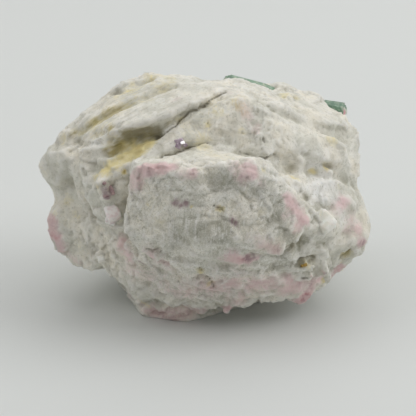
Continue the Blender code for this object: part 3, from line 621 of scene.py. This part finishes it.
def broken_relief(thing, points, facing):
    """How far the broken surface stands out at each point, how dark it is painted (painted shade in open
    cracks,
    furrows and holes, and the own dark of healed veins), how calm it is, and the way its streaks run.
    Everywhere:
    terraces, chips and flakes on tilted planes, and streaks.
    layers and bands: ledges. In the fibrous part: upright ribs. On the lip: lumps. Lines and hollows are cut
    by their depth times e to the minus square of how far off they are."""
    layered = within(points, LAYERED_PART)
    fibrous = within(points, FIBROUS_PART)
    banded = within(points, BANDED_PART)
    calm = np.zeros(len(points))
    for middle, reach, amount in CALM_PARTS:
        calm = np.maximum(calm, amount * within(points, (middle, reach)))
    calm = np.maximum(calm, np.minimum(patches(thing, points, CALM), 1))
    ragged = drift(points, 4.0, 21, 0.5)

    coarse, _ = terraces(ragged, facing, COARSE, 30)
    fine, run = terraces(ragged, facing, FINE, 35)
    relief = coarse + fine + CHIP[1] * tilted(ragged, CHIP[0], 31) + FLAKE[1] * tilted(ragged, FLAKE[0], 32)
    relief *= (1 - (1 - CALM_SHARE) * calm) * (1 - (1 - LAYERED_SHARE) * layered)
    streaks = STREAK[1] * lattice_noise(drawn_out(ragged, run, 4), STREAK[0], 43)
    relief += streaks * (1 - (1 - STREAKS_LEFT) * calm)
    relief += GRAIN[1] * lattice_noise(points, GRAIN[0], 33)

    stretched = drawn_out(ragged, unit(LAYER_RUN), 6)
    stacking = ragged @ unit(LAYER_STACKING) / LAYER[0] + 0.5 * lattice_noise(stretched, 2.2, 46)
    relief += LAYER[1] * layered * (saw_tooth(stacking) + 0.3 * lattice_noise(stretched, 0.9, 47))
    band = drift(points, 8.0, 23, 2.0) @ unit(BAND_STACKING) / BAND[0]
    relief += BAND[1] * banded * saw_tooth(band)
    relief += LIP[1] * within(points, LIP_PART) * octaves(points, LIP[0], 49, 2)
    upright = drawn_out(ragged, unit(FIBRE_RUN), 4)
    relief += FIBRES[1] * fibrous * lattice_noise(upright, FIBRES[0], 48)

    # How dark each place is painted: painted shade in open cracks, furrows and holes, and the own dark of
    # healed veins
    crack = np.zeros(len(points))
    wandering = drift(points, 1.8, 24, 0.35)
    for lines, darkness in LINES:
        for half_width, depth, corners in lines:
            cut = np.exp(-(distance_to_route(wandering, seen_route(thing, corners)) / half_width) ** 2)
            relief -= depth * cut
            crack = np.maximum(crack, darkness * cut)
    for across, down, radius, depth, darkness in HOLES:
        middle = seen(thing, across, down)
        if middle is not None:
            cut = np.exp(-((wandering - middle) ** 2).sum(axis=1) / radius ** 2)
            relief -= depth * cut
            crack = np.maximum(crack, darkness * cut)
    run = np.where(layered[:, None] > 0.3, unit(LAYER_RUN), run)
    run = np.where(fibrous[:, None] > 0.4, unit(FIBRE_RUN), run)
    return relief, crack, calm, run


def block_points(half_sizes, seed, kept):
    """A cleaved block with rounded edges, on a grid of directions. With p for its sharpness, the radius in a
    direction is the sum over its planes of how fast the direction nears the plane to the power of p, all to
    the power of -1 / p. The planes are the six of a box and four that cut its corners off."""
    random = np.random.default_rng(seed)
    normals = np.concatenate([np.eye(3), -np.eye(3), random.uniform(-1, 1, (4, 3))])
    normals = rows(normals)
    reach = np.abs(normals) @ half_sizes * np.repeat([1.0, kept], [6, 4])
    around = np.linspace(0, math.tau, BLOCK_SIDES, endpoint=False)
    down = np.linspace(0, math.pi, BLOCK_RINGS + 2)[1:-1]
    ring = np.stack([np.cos(around), np.sin(around)], axis=1)
    height = np.broadcast_to(np.cos(down)[:, None, None], (BLOCK_RINGS, BLOCK_SIDES, 1))
    rim = np.concatenate([np.sin(down)[:, None, None] * ring, height], axis=2)
    ways = np.concatenate([rim.reshape(-1, 3), [[0, 0, 1], [0, 0, -1]]])
    nearing = np.maximum(ways @ normals.T / reach, 0)
    return ways / (nearing ** BLOCK_SHARPNESS).sum(axis=1, keepdims=True) ** (1 / BLOCK_SHARPNESS)


def grid_faces(rings, sides):
    """Faces of a closed grid of rings whose two poles are the last two points: quads, then both fans."""
    ring = np.arange(rings - 1)[:, None] * sides
    here = np.arange(sides)[None]
    after = (here + 1) % sides
    quads = np.stack([ring + here, ring + sides + here, ring + sides + after, ring + after], axis=2)
    low = (rings - 1) * sides
    pole = rings * sides
    near = [(pole, i, (i + 1) % sides) for i in range(sides)]
    far = [(pole + 1, low + (i + 1) % sides, low + i) for i in range(sides)]
    return quads.reshape(-1, 4).tolist() + near + far


def blocks_as_seen(thing, name, places, seed, kept=CORNERS_KEPT):
    """One object of cleaved blocks, each set on the surface where it is seen and turned as seen."""
    _, back, right, above = camera_place()
    points = []
    faces = []
    for number, ((across, down), half_sizes, turn, sunk, lean) in enumerate(places):
        middle = seen(thing, across, down)
        angle = math.radians(turn)
        lean = math.radians(lean)
        near = back * math.cos(lean) + above * math.sin(lean)
        upward = above * math.cos(lean) - back * math.sin(lean)
        side = right * math.cos(angle) + upward * math.sin(angle)
        frame_of_block = np.array([side, near.cross(side), near])
        shape = block_points(np.array(half_sizes), seed + number, kept) @ frame_of_block
        first = len(points) * len(shape)
        faces += [[first + i for i in face] for face in grid_faces(BLOCK_RINGS, BLOCK_SIDES)]
        points.append(shape + middle - sunk * np.array(back))
    return new_object(name, np.concatenate(points), faces)


def new_object(name, points, faces):
    """An object in the scene from points in millimetres and faces, shaded smooth."""
    mesh = bpy.data.meshes.new(name)
    mesh.from_pydata((points * MM).tolist(), [], faces)
    shade_smooth(mesh)
    made = bpy.data.objects.new(name, mesh)
    bpy.context.scene.collection.objects.link(made)
    return made


def skin_of_stone():
    """The solid's own faces, merged, joined with the blocks on the broken side, remeshed to an even skin and
    softened so that its triangles no longer show."""
    merged = bmesh.new()
    merged.from_mesh(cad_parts["stone"].data)
    bmesh.ops.remove_doubles(merged, verts=merged.verts, dist=MERGE_DISTANCE * MM)
    mesh = bpy.data.meshes.new("feldspar_lump")
    merged.to_mesh(mesh)
    lump = bpy.data.objects.new("feldspar_lump", mesh)
    bpy.context.scene.collection.objects.link(lump)
    bpy.context.view_layer.update()
    blocks = blocks_as_seen(lump, "blocks", BLOCKS, 80)
    merged.from_mesh(blocks.data)
    merged.to_mesh(mesh)
    merged.free()
    bpy.data.objects.remove(blocks)
    even = lump.modifiers.new("even", "REMESH")
    even.mode = "VOXEL"
    even.voxel_size = SKIN_CELL * MM
    soft = lump.modifiers.new("soft", "SMOOTH")
    soft.factor = 0.5
    soft.iterations = SKIN_SOFTENING
    bpy.context.view_layer.update()
    skin = bpy.data.meshes.new_from_object(lump.evaluated_get(bpy.context.evaluated_depsgraph_get()))
    lump.modifiers.clear()
    lump.data = skin
    bpy.context.view_layer.update()
    return lump


def feldspar_lump():
    """The whole stone: the skin, moved in and out along its normals by the broken relief, and its stains,
    with painted shade and painted light among them.
    """
    lump = skin_of_stone()
    mesh = lump.data
    points, normals, edges = read_mesh(mesh)
    facing = rows(neighbour_mean(normals, edges, FACING_ROUNDS))
    relief, crack, calm, run = broken_relief(lump, points, facing)
    relief -= COLUMN_DRAWN_BACK * smooth_step(column_depth(points), -COLUMN_GAP, 0.0)
    relief *= smooth_step(points[:, 2], 0.0, FLAT_REACH)

    ragged = drift(points, 2.2, 51, 0.7)
    # The olive patches are partly painted shade and the white ones partly painted light
    stains = {"rose": ROSE, "mauve": MAUVE, "ochre": OCHRE, "glass": GLASS, "olive": OLIVE, "white": WHITE}
    masks = {name: patches(lump, ragged, places) for name, places in stains.items()}
    moved = points + normals * relief[:, None]
    moved[:, 2] = np.maximum(moved[:, 2], 0)
    write_points(mesh, moved)

    _, normals, _ = read_mesh(mesh)
    near = ((moved - neighbour_mean(moved, edges, NEAR_ROUNDS)) * normals).sum(axis=1)
    wide = ((moved - neighbour_mean(moved, edges, WIDE_ROUNDS)) * normals).sum(axis=1)
    paint(
        mesh,
        crisp=within(points, CRISP_PART),
        # Painted shade in open cracks, furrows and holes, and the own dark of healed veins
        crack=crack,
        calm=calm,
        # Painted shade in small hollows, painted shade and dirt in deep ones, and a painted highlight on
        # ridges
        hollow=smooth_step(-near, 0.03, 0.3),
        proud=smooth_step(near, 0.04, 0.25),
        deep=smooth_step(-wide, 0.3, 1.4),
        **masks,
    )
    streak_run = mesh.attributes.new("run", "FLOAT_VECTOR", "POINT")
    streak_run.data.foreach_set("vector", run.astype(np.float32).ravel())
    shade_smooth(mesh)
    return lump


def tourmaline_column(name, start, end, radius, seed):
    """A tourmaline crystal with both ends broken off: a triangle with bulging sides, whose radius at angle a
    is r (1 + bulge cos 3a) plus cosines of many more waves, the furrows. Rings of points run from the middle
    of one end out to its rim, along the sides, and in to the other middle."""
    random = np.random.default_rng(seed)
    start = Vector(start) + Vector(SHIFT)
    end = Vector(end) + Vector(SHIFT)
    axis = (end - start).normalized()
    turn = np.array(axis.to_track_quat("Z", "Y").to_matrix())
    length = (end - start).length
    sides = COLUMN_SIDES
    angle = np.linspace(0, math.tau, sides, endpoint=False)
    furrow = np.zeros(sides)
    for waves in COLUMN_FURROWS:
        furrow += random.uniform(0.4, 1) * np.cos(waves * angle + random.uniform(0, math.tau)) / waves
    outline = (radius + COLUMN_PROUD) * (1 + COLUMN_BULGE * np.cos(3 * angle)) + COLUMN_FURROW_DEPTH * furrow

    caps = np.linspace(0, 1, COLUMN_CAP_RINGS)[1:]
    lengthwise = np.linspace(0, 1, int(length / COLUMN_STEP))
    share = np.concatenate([caps, np.ones(len(lengthwise) - 2), caps[::-1]])
    along = np.concatenate([np.zeros(len(caps)), lengthwise[1:-1], np.ones(len(caps))]) * length
    circle = np.stack([np.cos(angle), np.sin(angle)], axis=1)
    flat = share[:, None, None] * outline[None, :, None] * circle[None]
    place = np.concatenate([flat, np.broadcast_to(along[:, None, None], (len(share), sides, 1))], axis=2)
    place = place.reshape(-1, 3)
    from_middle = along - length / 2
    end_sign = np.sign(from_middle) * smooth_step(np.abs(from_middle), length / 2 - END_REACH, length / 2)
    broken = END_CHIP[1] * tilted(place + 7 * seed, END_CHIP[0], seed)
    broken += END_GRAIN[1] * lattice_noise(place, END_GRAIN[0], seed)
    place[:, 2] += np.repeat(end_sign, sides) * broken
    side_share = np.repeat(share, sides)
    lengthened = drawn_out(place, np.array([0.0, 0, 1]), 5)
    wobble = COLUMN_WOBBLE[1] * lattice_noise(lengthened, COLUMN_WOBBLE[0], seed + 1)
    place[:, :2] *= (1 + (wobble / radius) * (side_share > 0.99))[:, None]

    middles = np.array([[0, 0, place[:sides, 2].mean()], [0, 0, place[-sides:, 2].mean()]])
    points = np.concatenate([place, middles]) @ turn.T + np.array(start)
    made = new_object(name, points, grid_faces(len(share), sides))
    recalculated = bmesh.new()
    recalculated.from_mesh(made.data)
    bmesh.ops.recalc_face_normals(recalculated, faces=recalculated.faces)
    recalculated.to_mesh(made.data)
    recalculated.free()
    paint(made.data, core=np.concatenate([np.where(side_share < 0.999, 1 - side_share, 0), [1, 1]]))
    return made


def linear(hex_colour):
    """An sRGB hex colour as linear red, green, blue and alpha."""
    levels = [int(hex_colour[i:i + 2], 16) / 255 for i in (1, 3, 5)]
    return [v / 12.92 if v <= 0.04045 else ((v + 0.055) / 1.055) ** 2.4 for v in levels] + [1]


def add(tree, kind, inputs=None, **settings):
    """Adds a node, sets its own settings, and gives each named or numbered input a value or a link."""
    made = tree.nodes.new("ShaderNode" + kind)
    for name, value in settings.items():
        setattr(made, name, value)
    for key, value in (inputs or {}).items():
        if isinstance(value, bpy.types.NodeSocket):
            tree.links.new(value, made.inputs[key])
        else:
            made.inputs[key].default_value = value
    return made


def empty_material(name):
    """A material with only its Principled shader and output, and its node tree."""
    material = bpy.data.materials.new(name)
    material.use_nodes = True
    tree = material.node_tree
    return material, tree, tree.nodes["Principled BSDF"]


def stained(tree, base, *stains):
    """A hex colour with stains laid over it in turn. A stain has its hex colour, its strength, and what it
    follows: masks, or values with where the stain starts and where it is full."""
    colour = linear(base)
    for stain, share, *followed in stains:
        for amount in followed:
            if isinstance(amount, tuple):
                ends = dict(zip(RANGE, amount))
                amount = add(tree, "MapRange", ends, interpolation_type="SMOOTHSTEP").outputs[0]
            share = add(tree, "Math", {0: amount, 1: share}, operation="MULTIPLY", use_clamp=True).outputs[0]
        mix = {"Factor": share, 6: colour, 7: linear(stain)}
        colour = add(tree, "Mix", mix, data_type="RGBA").outputs[2]
    return colour


def milky_feldspar():
    """Milky feldspar, broken by hand: dull and granular, with streaky cleavage faces that catch light."""
    material, tree, shader = empty_material("milky_feldspar_broken")
    place = add(tree, "TexCoord").outputs["Object"]
    run = add(tree, "Attribute", attribute_name="run").outputs["Vector"]
    along = add(tree, "VectorMath", {0: place, 1: run}, operation="DOT_PRODUCT").outputs["Value"]
    pull = add(tree, "Math", {0: along, 1: -0.86}, operation="MULTIPLY").outputs[0]
    drawn = add(tree, "VectorMath", {0: run, "Scale": pull}, operation="SCALE").outputs[0]
    squeezed = add(tree, "VectorMath", {0: place, 1: drawn}, operation="ADD").outputs[0]
    wander = add(tree, "TexNoise", {"Vector": place, "Scale": 1 / (2.5 * MM), "Detail": 2.0}).outputs[1]
    bent = add(tree, "VectorMath", {0: wander, 1: (1.6 * MM,) * 3, 2: place},
               operation="MULTIPLY_ADD").outputs[0]
    cloud, veil, grain, sugar, streak = [
        add(tree, "TexNoise", {"Vector": space, "Scale": 1 / (size * MM), "Detail": detail}).outputs[0]
        for space, size, detail in ((bent, 8, 3.0), (bent, 3.5, 3.0), (place, 0.55, 4.0), (place, 0.3, 2.0),
                                    (squeezed, 0.55, 4.0))
    ]
    facet = add(tree, "TexVoronoi", {"Vector": bent, "Scale": 1 / (2.2 * MM)}).outputs["Color"]
    splinter = add(tree, "TexVoronoi", {"Vector": squeezed, "Scale": 1 / (0.6 * MM)}).outputs["Color"]
    tones = add(tree, "SeparateColor", {0: facet})

    def mask(name):
        return add(tree, "Attribute", attribute_name=name).outputs["Fac"]

    def feathered(name, low, high, raggedness):
        """What a painted stain follows: its mask, with an edge made ragged by streaks and clouds."""
        mixed = add(tree, "Mix", {"Factor": 0.5, 2: streak, 3: veil}).outputs[0]
        ends = dict(zip(RANGE, (mixed, 0.3, 0.7, -raggedness, raggedness)))
        ragged = add(tree, "MapRange", ends, interpolation_type="SMOOTHSTEP").outputs[0]
        moved = add(tree, "Math", {0: ragged, 1: mask(name)}, operation="ADD").outputs[0]
        return (moved, low, high), (mask(name), 0.03, 0.25)

    def leaned(normal, cells, amount):
        """The normal leaned by the random colour of its cell, so that every cell is a small face."""
        lean = add(tree, "VectorMath", {0: cells, 1: (0.5, 0.5, 0.5)}, operation="SUBTRACT").outputs[0]
        moved = add(tree, "VectorMath", {0: lean, 1: amount, 2: normal}, operation="MULTIPLY_ADD").outputs[0]
        return add(tree, "VectorMath", {0: moved}, operation="NORMALIZE").outputs[0]

    steady, leaning, shine, streaky = [
        add(tree, "MapRange", dict(zip(RANGE, ends)), interpolation_type="SMOOTHSTEP").outputs[0]
        for ends in ((mask("calm"), 0.0, 1.0, 1.0, 0.5), (mask("calm"), 0.0, 1.0, 0.45, 0.225),
                     (tones.outputs[2], 0.05, 0.25, 0.38, 0.68), (mask("crisp"), 0.0, 0.6, 0.3, 1.0))
    ]
    crisp = (mask("crisp"), 0.0, 0.6)
    colour = stained(
        tree, "#EBE7DB",
        ("#DAD8CC", 1.0, (cloud, 0.42, 0.6)),
        ("#E9DEC3", 0.25, (cloud, 0.5, 0.36)),
        ("#C2BEAF", 0.5, (veil, 0.48, 0.34)),
        ("#908F7C", 0.6, *feathered("glass", 0.15, 1.0, 0.4)),
        # White feldspar, and painted light on the right face, the slab's low left and the front block's left
        # edge
        ("#FAF9F5", 0.8, *feathered("white", 0.1, 0.9, 0.25)),
        ("#F8F6F2", 0.5, (streak, 0.5, 0.64), streaky),
        ("#A6A392", 0.42, (streak, 0.48, 0.34), streaky),
        ("#FBFAF6", 0.28, (sugar, 0.52, 0.62), crisp),
        ("#918E7E", 0.28, (sugar, 0.46, 0.36), crisp),
        ("#F7F4EF", 0.25, (tones.outputs[0], 0.6, 0.9)),
        ("#C8C5B8", 0.25, (tones.outputs[1], 0.7, 0.9)),
        ("#A29E8C", 0.35, (grain, 0.44, 0.34)),
        # Painted shade and dirt in deep hollows, painted shade in small ones, and a painted highlight on
        # ridges
        ("#8D855F", 0.25, mask("deep")),
        ("#928C70", 0.25, mask("hollow")),
        ("#F9F6F1", 0.35, mask("proud")),
        ("#E3C3C3", 0.8, *feathered("rose", 0.05, 0.85, 0.2)),
        ("#C97F83", 0.7, *feathered("rose", 0.95, 1.9, 0.4)),
        ("#E5D698", 0.9, *feathered("ochre", 0.05, 1.1, 0.35)),
        ("#B99C55", 0.6, *feathered("ochre", 0.95, 1.8, 0.35)),
        # Olive stains, and painted shade under the slab's lip, in the slot and at the lower right
        ("#7C7350", 0.75, *feathered("olive", 0.1, 1.0, 0.3)),
        # Painted shade in open cracks, furrows and holes, and the own dark of healed veins
        ("#5E5236", 0.65, (mask("crack"), 0.3, 1.0)),
        ("#8B6672", 0.75, *feathered("mauve", 0.1, 1.0, 0.35)),
    )

    ribs = add(tree, "Math", {0: steady, 1: streaky}, operation="MULTIPLY").outputs[0]
    ribbed = add(tree, "Bump", {"Strength": ribs, "Distance": 0.06 * MM, "Height": streak}).outputs[0]
    rough = add(tree, "Bump", {"Strength": steady, "Distance": 0.05 * MM, "Height": grain,
                               "Normal": ribbed}).outputs[0]
    faced = leaned(leaned(rough, facet, leaning), splinter, (0.34,) * 3)
    tree.links.new(colour, shader.inputs["Base Color"])
    tree.links.new(shine, shader.inputs["Roughness"])
    tree.links.new(faced, shader.inputs["Normal"])
    shader.inputs["IOR"].default_value = 1.53
    shader.inputs["Subsurface Weight"].default_value = 0.3
    shader.inputs["Subsurface Radius"].default_value = (1.0, 0.92, 0.8)
    shader.inputs["Subsurface Scale"].default_value = 0.9 * MM
    return material


def green_tourmaline():
    """Watermelon tourmaline in furrowed columns: a green rind, and inside it a pale ring and a rose core."""
    material, tree, shader = empty_material("watermelon_tourmaline_furrowed")
    place = add(tree, "TexCoord").outputs["Object"]
    cloud, grain, crust = [
        add(tree, "TexNoise", {"Vector": place, "Scale": 1 / (size * MM), "Detail": detail}).outputs[0]
        for size, detail in ((4, 3.0), (0.6, 4.0), (1.6, 6.0))
    ]
    inward = add(tree, "Attribute", attribute_name="core").outputs["Fac"]
    wavering, shine = [
        add(tree, "MapRange", dict(zip(RANGE, ends)), interpolation_type="SMOOTHSTEP").outputs[0]
        for ends in ((cloud, 0.3, 0.7, -0.06, 0.06), (crust, 0.5, 0.62, 0.3, 0.65))
    ]
    ragged = add(tree, "Math", {0: inward, 1: wavering}, operation="ADD").outputs[0]
    colour = stained(
        tree, "#86A48B",
        ("#5F7F69", 1.0, (cloud, 0.4, 0.62)),
        ("#A6BEA6", 0.5, (grain, 0.5, 0.66)),
        ("#D9DCCB", 0.9, (ragged, 0.22, 0.3)),
        ("#D08D94", 0.9, (ragged, 0.36, 0.48)),
        ("#C9CDBB", 0.7, (crust, 0.5, 0.72)),
    )
    bump = add(tree, "Bump", {"Strength": 0.7, "Distance": 0.12 * MM, "Height": grain})
    tree.links.new(colour, shader.inputs["Base Color"])
    tree.links.new(shine, shader.inputs["Roughness"])
    tree.links.new(bump.outputs[0], shader.inputs["Normal"])
    shader.inputs["IOR"].default_value = 1.63
    return material


def crystal(name, light, dark, roughness, clearness, silvery):
    """A small crystal grown in the feldspar and broken with it: cloudy, from a light to a dark tone."""
    material, tree, shader = empty_material(name)
    place = add(tree, "TexCoord").outputs["Object"]
    cloud, grain = [
        add(tree, "TexNoise", {"Vector": place, "Scale": 1 / (size * MM), "Detail": 3.0}).outputs[0]
        for size in (1.3, 0.4)
    ]
    facet = add(tree, "TexVoronoi", {"Vector": place, "Scale": 1 / (1.2 * MM)}).outputs["Color"]
    tone = add(tree, "SeparateColor", {0: facet}).outputs[0]
    colour = stained(tree, light, (dark, 1.0, (cloud, 0.38, 0.62)), (light, 0.6, (tone, 0.55, 0.8)))
    bump = add(tree, "Bump", {"Strength": 1.0, "Distance": 0.06 * MM, "Height": grain})
    tree.links.new(colour, shader.inputs["Base Color"])
    tree.links.new(bump.outputs[0], shader.inputs["Normal"])
    shader.inputs["Roughness"].default_value = roughness
    shader.inputs["Metallic"].default_value = silvery
    shader.inputs["IOR"].default_value = 1.62
    shader.inputs["Subsurface Weight"].default_value = clearness
    shader.inputs["Subsurface Radius"].default_value = (1.0, 0.8, 0.8)
    shader.inputs["Subsurface Scale"].default_value = 1.0 * MM
    return material


def pale_card():
    """Matt pale card under and behind the stone."""
    material, _, shader = empty_material("pale_card")
    shader.inputs["Base Color"].default_value = linear("#DCDEDC")
    shader.inputs["Roughness"].default_value = 0.9
    shader.inputs["Specular IOR Level"].default_value = 0.1
    return material


def sweep():
    """The ground and, far behind, the wall it curves up into: a flat run, a quarter turn, an upright run."""
    near, far, width, bend, top = -1500.0, 900.0, 2400.0, 500.0, 1600.0
    turn = np.linspace(0, math.pi / 2, BEND_STEPS)
    run = np.concatenate([[near], far + bend * np.sin(turn), [far + bend]])
    rise = np.concatenate([[0], bend * (1 - np.cos(turn)), [top]])
    points = [(side * width, y, z) for y, z in zip(run, rise) for side in (-1, 1)]
    faces = [(2 * i, 2 * i + 1, 2 * i + 3, 2 * i + 2) for i in range(len(run) - 1)]
    mesh = bpy.data.meshes.new("ground_sweep")
    mesh.from_pydata((np.array(points) * MM).tolist(), [], faces)
    shade_smooth(mesh)
    made = bpy.data.objects.new("ground_sweep", mesh)
    bpy.context.scene.collection.objects.link(made)
    mesh.materials.append(pale_card())


def aim(thing, target):
    """Turns a camera or a lamp to look at a point, with its top up."""
    thing.rotation_mode = "QUATERNION"
    thing.rotation_quaternion = (Vector(target) - thing.location).to_track_quat("-Z", "Y")


def soft_light(name, place, size, power):
    """A large round lamp that looks at the stone. Place and size in millimetres, power in watts."""
    lamp = bpy.data.objects.new(name, bpy.data.lights.new(name, "AREA"))
    bpy.context.scene.collection.objects.link(lamp)
    lamp.data.shape = "DISK"
    lamp.data.size = size * MM
    lamp.data.energy = power
    lamp.location = Vector(place) * MM
    aim(lamp, Vector(AIM) * MM)


def light_and_camera():
    """The pale room light, the lamps, and the camera at the height and distance of the view."""
    scene = bpy.context.scene
    world = bpy.data.worlds.new("soft_room")
    scene.world = world
    world.use_nodes = True
    background = world.node_tree.nodes["Background"]
    background.inputs["Color"].default_value = linear(ROOM_COLOUR)
    background.inputs["Strength"].default_value = ROOM_STRENGTH
    for lamp in LAMPS:
        soft_light(*lamp)

    place, _, _, _ = camera_place()
    camera = bpy.data.objects.new("view", bpy.data.cameras.new("view"))
    scene.collection.objects.link(camera)
    camera.location = place * MM
    aim(camera, Vector(AIM) * MM)
    camera.data.sensor_width = SENSOR
    camera.data.lens = SENSOR / 2 * VIEW_DISTANCE / HALF_WIDTH
    camera.data.clip_start = 10 * MM
    scene.camera = camera
    scene.view_settings.view_transform = "Standard"


def main():
    """The stone, the crystals grown in it, the ground, the light and the view."""
    lump = feldspar_lump()
    lump.data.materials.append(milky_feldspar())
    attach(lump, "root")
    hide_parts("stone")
    for name, places, seed, kept, finish in CRYSTALS:
        crystals = blocks_as_seen(lump, name, places, seed, kept)
        crystals.data.materials.append(crystal(*finish))
        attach(crystals, "root")
    green = green_tourmaline()
    for number, (start, end, radius) in enumerate(GREEN_COLUMNS):
        column = tourmaline_column(f"green_column_{number + 1}", start, end, radius, 60 + number)
        column.data.materials.append(green)
        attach(column, "root")
    sweep()
    light_and_camera()


main()
